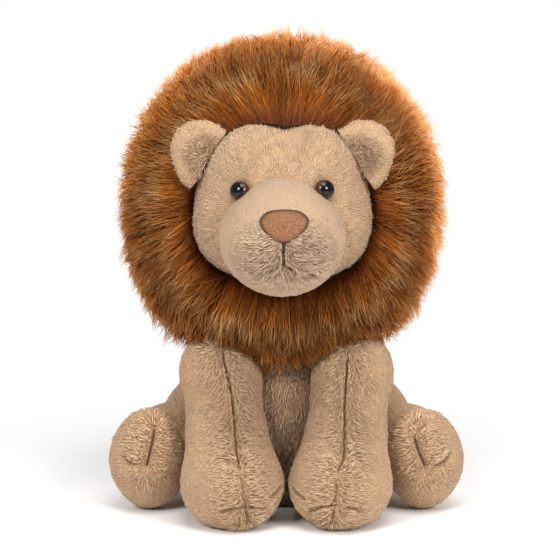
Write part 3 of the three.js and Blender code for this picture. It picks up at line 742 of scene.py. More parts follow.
for name, side in SIDES:
    mirror = np.array([side, 1, 1])

    def sight(places, depth=0.0):
        """Places on the front of this leg."""
        return on_front(front_leg_form, side, places, depth)

    seam_places, gather = leg_seams[name], leg_seams[name][-1]
    seam = sight(seam_places)
    pinches = [sight(places) for places in leg_pinches[name]]
    middle_line = np.concatenate([seam, pinches[0]])
    sunk_lines = [(sight(seam_places, SEAM_DEPTH), 1.4, 0.32)]
    sunk_lines += [(sight(places, 1.2), 1.4, 0) for places in leg_pinches[name]]
    rays = np.add(gather, GATHER_SIZE * np.stack([np.cos(GATHER_RAYS), np.sin(GATHER_RAYS)], axis=-1))
    gathers = [sight([gather, end]) for end in rays]
    middle = sight([gather, gather])[:1]
    leg_lines = [(seam, 2.4, 2.6), (np.concatenate([middle, middle + 0.1]), 4, 3.4)]
    leg_lines += [(line, 1.8, 1.6) for line in gathers + pinches]

    def leg_comb(points, normals):
        """Pile combed away from the seam, down the shank as well, and out from the gathered point."""
        _, away = line_gap(points, middle_line)
        down = np.clip((points[:, 2:] - 42) / 30, 0, 1) * np.array([0, 0, -1.1])
        near = np.exp(-(np.linalg.norm(points - middle, axis=-1, keepdims=True) / 6) ** 2)
        return unit(away) + down + 2 * near * unit(points - middle)

    def leg_length(points):
        """6.5 mm long beside the seam and 2.6 mm round the back, shorter against the body."""
        long_pile = beside(middle_line, 6.5, 2.6, 17)(points)
        return long_pile * np.clip(0.3 + body_pear(points * mirror) / 10, 0.25, 1)

    # It lies flatter towards the back, where only half the tufts stand
    lean, kept = beside(middle_line, 0.94, 1.4, 16), beside(middle_line, 1.0, 0.5, 28)
    skin = crease(right_leg_skin * mirror, leg_lines)
    tuft = pile(
        skin, 1.0, leg_length, lean, leg_comb, sunk_lines, 20 + side,
        width=0.29, kept_share=kept, shade=paw_shade,
    )
    thread = thread_along(sight(seam_places, SEAM_DEPTH - SEAM_THREAD)[2:], SEAM_THREAD, 70, 6)
    sew_leg("front_leg", name, side, skin, tuft, sunk_lines, thread, leg_spine, front_leg_form, 62)

# The hind legs: a round haunch, a short shin and a foot that shows its sole. The sole's long pile
# is drawn in by a hand-sewn crease and two dimples; the rest is short and smooth.
SHIN, SHIN_RADIUS = (78, -12, 38), 27
FOOT, FOOT_RADII = (89.2, -31, 33), (26.3, 25, 33.5)
HIP_GAP = 1.2
HAUNCH_INSET = 0.9
SOLE_THREAD = 0.32


def hind_leg_form(points):
    """The right hind leg without its pile: haunch, shin and foot, flat at the hip and on the floor."""
    limb = meld(ball(points, HIP, HIP_RADIUS), tube(points, HIP, SHIN, SHIN_RADIUS, SHIN_RADIUS), 8)
    foot = meld(tube(points, SHIN, FOOT, SHIN_RADIUS, 0.95 * SHIN_RADIUS), ball(points, FOOT, FOOT_RADII), 5)
    limb = carve(meld(limb, foot, 5), points[..., 0] - HIP_FACE + HIP_GAP, 3) + HAUNCH_INSET
    return np.maximum(limb, FLOOR_PRESS - points[..., 2])


hind_spine = [(47, 20, 43.5), (61, 6, 42), (76, -9, 39), (86, -22, 35.5), (89.2, -36, 33.5)]
right_hind_skin = wrap(hind_spine, (0, 0, 1), hind_leg_form, 110, 110, 70)
sole_lines = {
    "left": [
        [(-84.5, 57), (-85.6, 50), (-87.2, 43), (-89.6, 34)],
        [(-105, 38.5), (-101.5, 35), (-97, 34.5)],
        [(-77, 60), (-73, 57), (-69, 52)],
    ],
    "right": [
        [(81.5, 53), (83, 47), (85.4, 41), (88.4, 34)],
        [(96, 33.5), (102, 35.5), (106, 40)],
        [(74, 48), (81.5, 53.5), (90, 60)],
    ],
}
SOLE_RULES = [(2.8, 1.5, 0.45), (2.2, 2.4, 0), (1.4, 1.6, 0)]
SOLE_CREASES = [(2.6, 3.0), (3, 2.6), (2.6, 1.8)]
for name, side in SIDES:
    mirror = np.array([side, 1, 1])
    creases = [on_front(hind_leg_form, side, places) for places in sole_lines[name]]
    sole = creases[0]
    sunk_lines = [
        (on_front(hind_leg_form, side, places, depth), reach, clear)
        for places, (depth, reach, clear) in zip(sole_lines[name], SOLE_RULES)
    ]

    def sole_comb(points, normals):
        """Pile combed out from the sole's crease, and downwards on the haunch."""
        _, away = line_gap(points, sole)
        far = np.clip((points[:, 1:2] + 42) / 25, 0, 1)
        return unit(away) * (1 - 0.6 * far) + far * np.array([0, 0.3, -0.9])

    def sole_length(points):
        """6.2 mm long on the sole and 2.6 mm elsewhere; none at the flat of the hip."""
        inner = np.clip((points[:, 0] * side - HIP_FACE - 1) / 3, 0, 1)
        return beside(sole, 6.2, 2.6, 17)(points) * inner

    # Away from the sole it lies flatter, with fewer, wider tufts, and is a little darker
    lean, kept, shade = beside(sole, 0.94, 1.4, 17), beside(sole, 1.0, 0.5, 28), beside(sole, 0.3, 0.0, 24)
    skin = crease(right_hind_skin * mirror, [(line, *rule) for line, rule in zip(creases, SOLE_CREASES)])
    tuft = pile(
        skin, 1.13, sole_length, lean, sole_comb, sunk_lines, 30 + side,
        width=0.3, kept_share=kept, shade=shade,
    )
    thread = thread_along(on_front(hind_leg_form, side, sole_lines[name][0], SEAM_DEPTH), SOLE_THREAD, 24, 6)
    across = (0, 0, 1)
    sew_leg("hind_leg", name, side, skin, tuft, sunk_lines, thread, hind_spine, hind_leg_form, 70, across)

# The head: a round cover of the same beige plush, its pile 4 mm long and combed up and out from
# the muzzle. It is sewn to the mane along a line that dips into a point over the forehead.
HEAD = np.array([-2.5, -28, 200])
HEAD_RADII = np.array([58, 58, 57])
MUZZLE = np.array([-2.5, -84, 184])
MUZZLE_RADII = np.array([40, 35, 37.5])
EYE_OFFSETS = np.array([(-26.6, -51.2, 12.4), (26.4, -51.2, 13.2)])
EYE_GAZES = unit(EYE_OFFSETS / HEAD_RADII ** 2)
EYES = HEAD + EYE_OFFSETS
SOCKET_OUT, SOCKET_RADIUS = 4.6, 6.9
FOREHEAD, FOREHEAD_RADIUS = (20, -22, 27.5), 22.5
CHEEK, CHEEK_RADIUS = (29, -24, -14), 26
HEAD_PILE = 4.2


def head_ball(points):
    """The round head with its pile."""
    return ball(points, HEAD, HEAD_RADII)


def head_form(points):
    """The head without its pile, with two soft lobes on the forehead, full cheeks and sunk eyes."""
    form = head_ball(points)
    for side in (-1, 1):
        mirror = np.array([side, 1, 1])
        form = meld(form, ball(points, HEAD + mirror * FOREHEAD, FOREHEAD_RADIUS), 10)
        form = meld(form, ball(points, HEAD + mirror * CHEEK, CHEEK_RADIUS), 12)
    form = form + PILE_INSET
    for eye, gaze in zip(EYES, EYE_GAZES):
        form = carve(form, ball(points, eye + SOCKET_OUT * gaze, SOCKET_RADIUS), 6)
    return form


def head_comb(points, normals):
    """Pile combed away from the bridge of the nose."""
    return points - np.array([-2.5, -86, 196])


def eye_gap(points):
    """How far points lie from the nearer eye."""
    return np.min([np.linalg.norm(points - place, axis=-1) for place in EYES], axis=0)


def head_length(points):
    """4.2 mm long in front of the mane's seam and down to 1.7 mm by the eyes, and none behind the
    seam or under the muzzle."""
    round_ = np.linalg.norm((points - MUZZLE) / MUZZLE_RADII, axis=-1)
    eye = eye_gap(points)
    shown = (points[:, 1] < -26) & (round_ > 0.93) & (eye > 4.6)
    return np.where(shown, HEAD_PILE * np.clip(0.4 + (eye - 6) / 14, 0.4, 1), 0)


def eye_pit_painted_shade(points):
    """Painted shade round the eyes, where the pile turns in: its tone is lowered there."""
    return -0.4 * np.exp(-((eye_gap(points) - 6) / 4) ** 2)


head_spine = [HEAD + [0, -4, 0], HEAD, HEAD + [0, 4, 0]]
head_skin = wrap(head_spine, (1, 0, 0), head_form, 110, 120, 75)
turn = np.linspace(math.radians(66), math.radians(125), 12)
parting = np.stack([0 * turn - 1.2, HEAD[1] - 57 * np.cos(turn), HEAD[2] + 57 * np.sin(turn)], axis=-1)
head_skin = crease(head_skin, [(parting, 6.5, 2.2)])
# The pile round the eyes carries painted shade, cloth and tufts alike
head = plush_piece(
    "head_plush",
    head_skin,
    pile(head_skin, 1.04, head_length, 1.24, head_comb, [], 41, width=0.27, unrest=0.12, shade=eye_pit_painted_shade),
    beige_plush,
    root=0.25,
    shade=eye_pit_painted_shade,
)
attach(head, "head")
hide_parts("head_cover")
stuff("head_filling", head_spine, head_ball, 75, "head", "head_stuffing")

# The muzzle: a dome of paler plush sewn on the face. It is clipped short at its rim, and fluffy
# round the nose and the mouth, where the stitched mouth draws it in.
NOSE = (-1.3, 195.5)
LIP, LIP_RADIUS = (13, -17, -7), 19
HOLLOW_DEPTH, HOLLOW_WIDTH = 3, 11
MOUTH = [
    [(-1.6, 184.5), (-1.8, 178), (-1.6, 170.5)],
    [(-1.6, 171), (2.5, 168.2), (8, 165.2), (13, 164.6), (19, 162.4)],
    [(-1.6, 171), (-7, 167.5), (-13.5, 163.5)],
]
MOUTH_CREASES = [(2.4, 3.2), (2.2, 2.8), (2.2, 1.2)]


def muzzle_ball(points):
    """The muzzle's dome with its pile."""
    return ball(points, MUZZLE, MUZZLE_RADII)


def muzzle_form(points):
    """The dome without its pile, with a full lip on either side, and hollowed by 3 mm next to the eyes."""
    form = muzzle_ball(points)
    for eye in EYES:
        gap = np.linalg.norm(points - eye - [0, -4, 0], axis=-1)
        form = form + HOLLOW_DEPTH * np.exp(-(gap / HOLLOW_WIDTH) ** 2)
    for side in (-1, 1):
        form = meld(form, ball(points, MUZZLE + np.array([side, 1, 1]) * LIP, LIP_RADIUS), 8)
    return form + 0.75 * PILE_INSET


mouth_lines = [on_front(muzzle_form, 1, places) for places in MOUTH]
mouth_seams = [
    (on_front(muzzle_form, 1, places, depth), 1.5, clear)
    for places, depth, clear in zip(MOUTH[:2], (2.9, 2.3), (0.4, 0.7))
]
nose_middle = on_front(muzzle_form, 1, [NOSE, NOSE])[0]


def muzzle_comb(points, normals):
    """Pile combed away from the nose and the mouth."""
    _, away = line_gap(points, np.concatenate([[nose_middle + [0, 0, 6]], mouth_lines[0]]))
    return unit(away) + 0.35 * unit(points - nose_middle)


def fluff(points):
    """One round the nose and mouth, nothing at the rim and on the bridge."""
    across = np.hypot((points[:, 0] - MUZZLE[0] - 1) / 31, (points[:, 2] - 176) / 23)
    return np.clip(2.1 - 1.8 * across, 0, 1) * (points[:, 1] < MUZZLE[1])


def muzzle_length(points):
    """2.2 mm at the rim and up to 6 mm by the mouth; none inside the head or under the nose."""
    nose = np.hypot((points[:, 0] - NOSE[0]) / 12.5, (points[:, 2] - NOSE[1]) / 8.5)
    shown = (head_ball(points) > -4) & (nose > 1)
    return np.where(shown, 2.2 + 3.8 * fluff(points), 0)


def muzzle_lean(points):
    """Flat at the rim, and more upright round the mouth."""
    return 1.38 - 0.52 * fluff(points)


def muzzle_shade(points):
    """The long pile round the mouth looks darker than the smooth rim, which is palest low down."""
    long_pile = fluff(points)
    return 0.06 - 0.14 * long_pile + 0.3 * np.clip((197 - points[:, 2]) / 12, 0, 1) * (1 - long_pile)


muzzle_plush = pile_material("pale_muzzle_plush", "#906E50", "#D0B496", "#EED5B9", 0.03, 0.9)
muzzle_spine = [MUZZLE + [0, -4, 0], MUZZLE, MUZZLE + [0, 4, 0]]
muzzle_skin = wrap(muzzle_spine, (1, 0, 0), muzzle_form, 100, 120, 60)
muzzle_skin = crease(muzzle_skin, [(line, *rule) for line, rule in zip(mouth_lines, MOUTH_CREASES)])
muzzle = plush_piece(
    "muzzle_plush",
    muzzle_skin,
    pile(
        muzzle_skin, 0.85, muzzle_length, muzzle_lean, muzzle_comb, mouth_seams, 51, width=0.24, unrest=0.3,
        shade=muzzle_shade,
    ),
    muzzle_plush,
    mouth_seams,
    root=0.12,
    shade=muzzle_shade,
)
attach(muzzle, "head")
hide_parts("muzzle_cover")
stuff("muzzle_filling", muzzle_spine, muzzle_form, 60, "head", "muzzle_stuffing")

# The ears: cupped pads of the same plush, two layers sewn round the edge and lightly stuffed. They
# fold along the seam at their base; inside the cup the pile is longer, parts in dark lines and carries painted
# shade.
EAR_BASE = np.array([43, -50, 230])
EAR_UP = np.array([0.85, 0.02, 0.52])
EAR_FACE = np.array([0.2, -1, 0.1])
EAR_RADII = (20.5, 21, 6.4)
EAR_LOBE = (12.5, 11.5, 5.6)
EAR_OUT = 9
EAR_ROLL = 4.6
EAR_DROP = 13
EAR_INSET = 1.6
EAR_HALF = 15
CUP, CUP_RADII = (2, 5, 7.2), (14.5, 15, 5.2)

for name, side in SIDES:
    mirror = np.array([side, 1, 1])
    out = unit(EAR_UP * mirror)
    face = unit(EAR_FACE * mirror - (EAR_FACE * mirror) @ out * out)
    axes = np.stack([np.cross(out, face), out, face])
    ear_base = EAR_BASE * mirror + [HEAD[0], 0, 0]

    def ear_form(places):
        """An ear without its pile: a flat disc with a dish in its front and a roll along its base.
        Places are across the ear, out from the head and to the front."""
        lobe = ball(places, (EAR_DROP * side, 5.5, 0), EAR_LOBE)
        disc = meld(ball(places, (0, EAR_OUT, 0), EAR_RADII), lobe, 6)
        disc = meld(disc, tube(places, (-EAR_HALF, 0, 0), (EAR_HALF, 0, 0), EAR_ROLL, EAR_ROLL), 4)
        disc = carve(disc, ball(places, CUP * mirror, CUP_RADII), 3.5)
        return carve(disc, head_ball(places @ axes + ear_base) + 1.0, 4) + EAR_INSET

    def ear_comb(points, normals):
        """Pile combed out from the middle of the ear's base."""
        return points - (ear_base + 2 * out)

    def cup(points):
        """One in the middle of the cup, nothing at the rim and behind."""
        places = (points - ear_base) @ axes.T
        across = np.hypot((places[:, 0] - 2 * side) / 15, (places[:, 1] - 4) / 15)
        return np.clip(1.7 - 1.5 * across, 0, 1) * (places[:, 2] > 0)

    def ear_length(points):
        """2.8 mm long at the rim and 5.7 mm in the cup."""
        return 2.8 + 2.9 * cup(points)

    def ear_lean(points):
        """Flat at the rim, more upright in the cup."""
        return 1.34 - 0.55 * cup(points)

    def cup_painted_shade(points):
        """Painted shade in the cup, for the shadow of the hollow and of its own long pile."""
        return -0.42 * cup(points)

    flat_skin = wrap([(0, -1, -1.2), (0, 9, -1.6), (0, 20, -1.4)], (1, 0, 0), ear_form, 60, 90, 29)
    ear_skin = flat_skin @ axes + ear_base
    tuft = pile(
        ear_skin, 0.8, ear_length, ear_lean, ear_comb, [], 60 + side,
        width=0.22, unrest=0.25, shade=cup_painted_shade,
    )
    ear = plush_piece(f"ear_{name}_plush", ear_skin, tuft, beige_plush, root=0.2)
    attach(ear, f"ear_{name}")
    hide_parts(f"ear_{name}")

# The eyes: domed plastic safety eyes, black in the middle with a brown rim, pressed through the
# plush and held by a washer behind it. They are moulded with a bright polish.
EYE_RADIUS = 6.2
EYE_DOME = 4.6
EYE_UNDER = 1.4

# Acrylic eye: clear and glossy over a printed brown ring and a black pupil
eye_acrylic, tree = new_material("glossy_eye_acrylic")
ring_share = node(tree, "ShaderNodeAttribute", {"attribute_name": "along"}, {})
eye_colour = node(tree, "ShaderNodeValToRGB", {}, {"Fac": ring_share.outputs["Fac"]})
stops(eye_colour, {0.7: "#050404", 0.82: "#4A3024", 0.93: "#553A2C", 1: "#120906"})
eye_shader = node(
    tree,
    "ShaderNodeBsdfPrincipled",
    {"Roughness": 0.12, "IOR": 1.49, "Specular IOR Level": 0.2, "Coat Weight": 0.45, "Coat Roughness": 0.03},
    {"Base Color": eye_colour.outputs["Color"]},
)
node(tree, "ShaderNodeOutputMaterial", {}, {"Surface": eye_shader.outputs["BSDF"]})


def turned(centre, axis, profile, columns):
    """A profile of (radius, height) turned about an axis through centre, as a grid whose ends are
    drawn together."""
    side_way = unit(np.cross(axis, (0, 0, 1.0)))
    profile = np.asarray(profile, float)
    circle = circles(columns, side_way, np.cross(axis, side_way))
    return centre + profile[:, :1, None] * circle + profile[:, 1:, None] * axis


def solid_piece(name, skin, material, along):
    """A grid as a closed piece, with a value along its rows."""
    points, faces, flat = grid_faces(skin)
    values = {"along": np.concatenate([along[:1], np.repeat(along[1:-1], skin.shape[1]), along[-1:]])}
    return add_mesh(name, points, faces, material, flat, values)


for name, eye_middle, gaze in zip(("left", "right"), EYES, EYE_GAZES):
    arc = np.linspace(math.pi / 2, 0, 22)
    dome = [(EYE_RADIUS * math.cos(a), EYE_DOME * math.sin(a)) for a in arc]
    under = [(EYE_RADIUS, -0.9), (0.92 * EYE_RADIUS, -1.3), (0.5 * EYE_RADIUS, -EYE_UNDER), (0, -EYE_UNDER)]
    eye_skin = turned(eye_middle, gaze, dome + under, 48)
    share = np.concatenate([np.cos(arc), [1, 1, 1, 1]])
    eye = solid_piece(f"eye_{name}_dome", eye_skin, eye_acrylic, share)
    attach(eye, "head")
    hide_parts(f"eye_{name}")

# The nose: a pad of short-napped velour, sewn down round its edge with brown thread, wider at the
# top and rounded to a point below.
NOSE_THICK = 4.2

# Velour: very short brown nap that looks speckled close up, darker where the edge is sewn down
nose_velour, tree = new_material("brown_nose_velour")
nap_place = node(tree, "ShaderNodeTexCoord", {}, {})
vector = {"Vector": nap_place.outputs["Object"]}
nap = node(tree, "ShaderNodeTexNoise", {"Scale": 1500.0, "Detail": 3.0}, vector)
brushed = node(tree, "ShaderNodeTexNoise", {"Scale": 900.0, "Detail": 2.0}, vector)
both = {0: nap.outputs["Fac"], 1: brushed.outputs["Fac"]}
speckle = node(tree, "ShaderNodeMath", {"operation": "ADD"}, both)
limits = {"From Min": 0.6, "From Max": 1.4}
nap_level = node(tree, "ShaderNodeMapRange", limits, {"Value": speckle.outputs["Value"]})
nap_colour = node(tree, "ShaderNodeValToRGB", {}, {"Fac": nap_level.outputs["Result"]})
stops(nap_colour, {0: "#5A3520", 1: "#A67655"})
edge_share = node(tree, "ShaderNodeAttribute", {"attribute_name": "along"}, {})
edge_level = node(tree, "ShaderNodeValToRGB", {}, {"Fac": edge_share.outputs["Fac"]})
edge_level.color_ramp.elements[0].color = (1, 1, 1, 1)
edge_level.color_ramp.elements[0].position = 0.8
edge_level.color_ramp.elements[1].color = (0.1, 0.06, 0.045, 1)
edge_level.color_ramp.elements[1].position = 0.97
velour_colour = node(
    tree,
    "ShaderNodeMix",
    {"data_type": "RGBA", "blend_type": "MULTIPLY", 0: 1.0},
    {6: nap_colour.outputs["Color"], 7: edge_level.outputs["Color"]},
)
height = {"Height": nap.outputs["Fac"]}
nap_bump = node(tree, "ShaderNodeBump", {"Strength": 0.6, "Distance": 0.0004}, height)
velour_shader = node(
    tree,
    "ShaderNodeBsdfPrincipled",
    {"Roughness": 0.85, "Specular IOR Level": 0.2, "Sheen Weight": 0.35, "Sheen Roughness": 0.4},
    {"Base Color": velour_colour.outputs[2], "Normal": nap_bump.outputs["Normal"]},
)
node(tree, "ShaderNodeOutputMaterial", {}, {"Surface": velour_shader.outputs["BSDF"]})

rim_places = [
    (0, -11.8), (4.2, -11.1), (8.4, -8.9), (12.5, -5), (15, -1.2),
    (15.3, 2.2), (12.6, 5.7), (8.6, 7.7), (4.4, 8.4), (0, 8.6),
]
rim_places = rim_places + [(-x, z) for x, z in rim_places[-2:0:-1]] + rim_places[:1]
nose_turn = np.linspace(0, 1, 72, endpoint=False)
nose_rim = curve(np.array(rim_places, float), nose_turn)
nose_share = np.concatenate([np.linspace(0, 1, 22), [1.0, 0.0]])
nose_across = nose_share[:, None, None] * nose_rim[None]
on_muzzle = (nose_across + [1.2, 12]) / MUZZLE_RADII[[0, 2]]
muzzle_depth = MUZZLE[1] - MUZZLE_RADII[1] * np.sqrt(np.clip(1 - (on_muzzle ** 2).sum(axis=-1), 0, 1))
crown_height = NOSE_THICK * np.sqrt(np.clip(1 - nose_share ** 3.4, 0, 1))
crown_height[-2:] = -2.4
nose_skin = np.stack([
    NOSE[0] + nose_across[..., 0],
    muzzle_depth + 1.3 - crown_height[:, None],
    NOSE[1] + nose_across[..., 1],
], axis=-1)
nose = solid_piece("nose_pad", nose_skin, nose_velour, nose_share)
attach(nose, "head")
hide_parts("nose")

# The mouth: one line of dark brown embroidery thread from the nose down, which forks to either
# side. It is pulled tight, so it lies in the groove of the muzzle.
THREAD_RADIUS = 0.36

mouth = stitched("mouth_stitches", [
    thread_along(on_front(muzzle_form, 1, places, depth), THREAD_RADIUS, 30, 8)
    for places, depth in zip(MOUTH, (2.0, 0.7, 1.2))
])
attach(mouth, "head")
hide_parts("mouth_thread")

# The mane: long soft pile on a knitted ring that is sewn to the head round the face and closed
# behind it. The hairs leave the cloth at a slant, in locks, and bend outwards; their tips lie in layers.
MANE = np.array([-2.5, 0, 202])
MANE_TILT = 0.3
MANE_JOWL = 0.06
MANE_OUTSIDE = [
    (54, -42), (67, -47.5), (88, -39.6), (103, -21), (108.5, 4),
    (105, 24), (94, 43), (72, 61), (39, 69), (0, 70),
]
FACE_EDGE = [
    (0, 56.5), (30, 56), (50, 54), (66, 53), (78, 50.5), (87, 48), (96, 50), (110, 53),
    (128, 54), (150, 55.5), (180, 56.5), (225, 56), (270, 51), (315, 56), (360, 56.5),
]
HAIR_WIDTH = 0.33
ROOT_SPREAD, TIP_SPREAD = 3.5, 1.6

mane_line = curve(MANE_OUTSIDE, np.linspace(0, 1, 400))
mane_run = np.append(0, np.cumsum(np.linalg.norm(np.diff(mane_line, axis=0), axis=1)))
mane_rim = mane_run[np.argmax(mane_line[:, 0])]
mane_behind = 1 + (mane_run - mane_rim) / (mane_run[-1] - mane_rim)
mane_share = np.where(mane_run < mane_rim, mane_run / mane_rim, mane_behind)
mane_way = unit(np.gradient(mane_line, axis=0))


def mane_place(angle, share, deep):
    """Places in the mane by the angle round the face, the share along its outside, which is 0 at the
    face, 1 at the rim and 2 at the middle of the back, and the depth under it. The outside is a
    profile of (radius, y) turned about the face, leaning back with height, and fuller at the jowls
    by the sine of twice the angle, squared. At the face it meets the head along the seam."""
    profile = (*mane_line.T, *mane_way.T)
    radius, y, way_r, way_y = (np.interp(share, mane_share, values) for values in profile)
    radius = radius - deep * way_y
    y = y + deep * way_r
    radius = radius * (1 + MANE_JOWL * np.sin(2 * angle) ** 2 * (np.sin(angle) < 0))
    y = y + MANE_TILT * radius * np.sin(angle)
    degrees, edges = np.array(FACE_EDGE, float).T
    edge = np.interp(np.degrees(angle) % 360, degrees, edges)
    edge_y = HEAD[1] - np.sqrt(HEAD_RADII[0] ** 2 - edge ** 2)
    near = np.clip(1 - share / 0.34, 0, 1) ** 2
    radius = radius + near * (edge - MANE_OUTSIDE[0][0])
    y = y + near * (edge_y - MANE_OUTSIDE[0][1] - MANE_TILT * edge * np.sin(angle))
    return MANE + np.stack([radius * np.cos(angle), y, radius * np.sin(angle)], axis=-1)


def cloth_depth(share):
    """How deep the knitted ring lies under the tips: 1 mm at the face, 13 mm at the rim."""
    return np.interp(share, [0, 0.12, 0.4, 0.8, 1, 1.6, 2], [0.8, 5, 11, 13, 13, 8, 4])


def hairs(first, last, locks, each, seed):
    """Places (hair, step, axis), widths and tones of the hairs of a number of locks that are rooted
    between two shares of the cloth. The roots of a lock spread by 3.5 mm, its tips by 1.6 mm. A hair
    runs along the outside from its root's share, and its depth falls to the tip's as (1 - t) to the
    power 1.4. Tips are turned by two ripples and, low down, hang towards the floor."""
    dice = np.random.default_rng(seed)
    root = dice.uniform(first, last, 3 * locks)
    root = np.where((dice.random(3 * locks) < 0.45) & (first < 0.01), 0.12 * root, root)
    angle = dice.uniform(0, 2 * math.pi, 3 * locks)
    wide = np.interp(root, mane_share, mane_line[:, 0])
    kept = np.flatnonzero(dice.random(3 * locks) < wide / 108)[:locks]
    root, angle = np.repeat(root[kept], each), np.repeat(angle[kept], each)
    radius = np.repeat(np.maximum(wide[kept], 12), each)
    count = len(root)
    place = mane_place(angle, root, 0)
    length = np.repeat(dice.uniform(0.72, 1.06, len(kept)), each) * dice.uniform(0.82, 1.08, count)
    swept = np.repeat(dice.random(len(kept)) < 0.6, each)
    end = np.where(swept, 0.42 + root - 0.25 * np.clip(root - 0.95, 0, 0.6), 0.42 + 0.62 * root)
    end = np.where(root > 1.15, 0.34 + 0.62 * root, end)
    end = root + (end - root) * length
    hang = -0.13 * np.cos(angle) * (0.5 - 0.5 * np.sin(angle))
    drift = 0.1 * ripple(place, 60, seed + 1) + 0.035 * ripple(place, 22, seed + 2)
    wisp = np.repeat(dice.normal(0, 0.035, len(kept)), each)
    swirl = dice.normal(0, 0.9, count) * np.clip((root - 1.7) / 0.3, 0, 1)
    last_angle = angle + hang + drift + wisp + swirl + dice.normal(0, TIP_SPREAD, count) / radius
    first_angle = angle + dice.normal(0, ROOT_SPREAD, count) / radius
    first_share = np.clip(root + dice.normal(0, 0.03, count), 0, 1.97)
    last_share = end + dice.normal(0, 0.02, count)
    shallow = np.repeat(dice.uniform(-2.5, 5, len(kept)), each) + dice.normal(0, 1.3, count)
    shallow = shallow + 5 * (1 - length) - 5.0 * np.exp(-((root - 0.95) / 0.2) ** 2) * dice.random(count)
    low = np.clip(-np.sin(angle) * 1.6 - 0.7, 0, 1)
    behind, before = (np.exp(-((root - middle) / 0.3) ** 2) for middle in (1.35, 0.7))
    shallow = shallow - low * (15 * behind + 4 * before)
    t = np.linspace(0, 1, 5)[None]
    share = first_share[:, None] + (last_share - first_share)[:, None] * t ** 1.15
    turn = first_angle[:, None] + (last_angle - first_angle)[:, None] * t
    depth = cloth_depth(first_share)[:, None] * (1 - t) ** 1.4 + shallow[:, None] * t ** 2
    places = mane_place(turn, share, depth)
    tone = np.repeat(dice.normal(0.25, 0.08, len(kept)), each) + dice.normal(0, 0.1, count)
    tone = tone + (dice.random(count) < 0.3) * (0.12 + 0.4 * np.exp(-root / 0.15))
    edge = np.clip((end - 0.6) / 0.35, 0, 1)
    right = np.maximum(np.cos(angle - 0.3), 0) ** 1.5
    up = np.sin(angle)
    down, up = np.maximum(-up, 0), np.maximum(up, 0)
    # Lower down the mane is darker, partly its own colour and partly painted shade from the light above; inside
    # the rim it is a little darker at the top
    tone = tone + 0.1 * ripple(place, 16, seed + 3) - 0.2 * down - 0.08 * (1 - edge) * up ** 3
    # Painted light: the rim's tips are lighter, most at the top and on the right, for the light that shines
    # through them
    tone = tone + edge * (0.55 + 0.6 * right + 0.4 * up - 0.2 * down * (1 - right))
    tone = np.clip(tone, 0, 1)
    # Hairs at the face are paler, and the rim's are moved towards their golden tips as painted light, most on
    # the right
    pale_and_painted_light = 0.22 * np.exp(-root / 0.08) + 0.42 * edge * np.minimum(0.6 + right, 1.5)
    width = HAIR_WIDTH * dice.uniform(0.75, 1.25, count) * (1 + 0.25 * np.clip((root - 0.8) / 0.3, 0, 1))
    return places, width, tone, pale_and_painted_light


# Long acrylic pile: fine hair, half matt, dark red-brown at the root, cinnamon in the middle and
# golden at the tip, each hair a little darker or lighter than the next
mane_acrylic, tree = new_material("cinnamon_mane_acrylic")
hair_along = node(tree, "ShaderNodeAttribute", {"attribute_name": "along"}, {})
hair_tone = node(tree, "ShaderNodeAttribute", {"attribute_name": "tone"}, {})
hair_place = node(tree, "ShaderNodeTexCoord", {}, {})
vector = {"Vector": hair_place.outputs["Object"]}
hair_patch = node(tree, "ShaderNodeTexNoise", {"Scale": 30.0, "Detail": 2.0}, vector)
limits = {"To Min": -0.12, "To Max": 0.12}
hair_shift = node(tree, "ShaderNodeMapRange", limits, {"Value": hair_patch.outputs["Fac"]})
both = {0: hair_along.outputs["Fac"], 1: hair_shift.outputs["Result"]}
hair_reach = node(tree, "ShaderNodeMath", {"operation": "ADD"}, both)
hair_ramp = node(tree, "ShaderNodeValToRGB", {}, {"Fac": hair_reach.outputs["Value"]})
stops(hair_ramp, {0: "#3C1C0C", 0.35: "#673517", 0.72: "#9B5B28", 1: "#E9BC82"})
limits = {"To Min": 0.5, "To Max": 1.85}
hair_each = node(tree, "ShaderNodeMapRange", limits, {"Value": hair_tone.outputs["Fac"]})
dyed = {"Color": hair_ramp.outputs["Color"], "Value": hair_each.outputs["Result"]}
hair_colour = node(tree, "ShaderNodeHueSaturation", {"Saturation": 1.03}, dyed)
surface = {"Roughness": 0.6, "Specular IOR Level": 0.12}
hair_shader = node(tree, "ShaderNodeBsdfPrincipled", surface, {"Base Color": hair_colour.outputs["Color"]})
node(tree, "ShaderNodeOutputMaterial", {}, {"Surface": hair_shader.outputs["BSDF"]})

cloth_share = np.concatenate([np.linspace(0, 1, 26), np.linspace(1, 1.97, 26)[1:]])[:, None]
cloth_turn = np.linspace(0, 2 * math.pi, 96, endpoint=False)[None]
cloth = mane_place(*np.broadcast_arrays(cloth_turn, cloth_share, cloth_depth(cloth_share) + 1))
inside = np.broadcast_to(HEAD + [0, 6, 0], (1, 96, 3))
back = np.broadcast_to(cloth[-1].mean(axis=0) + [0, 0.4, 0], (1, 96, 3))
cloth = np.concatenate([inside, 0.5 * (inside + cloth[:1]), cloth, back])
mane_cloth = solid_piece("mane_cloth", cloth, mane_acrylic, np.full(len(cloth), 0.25))
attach(mane_cloth, "head")
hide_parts("mane")

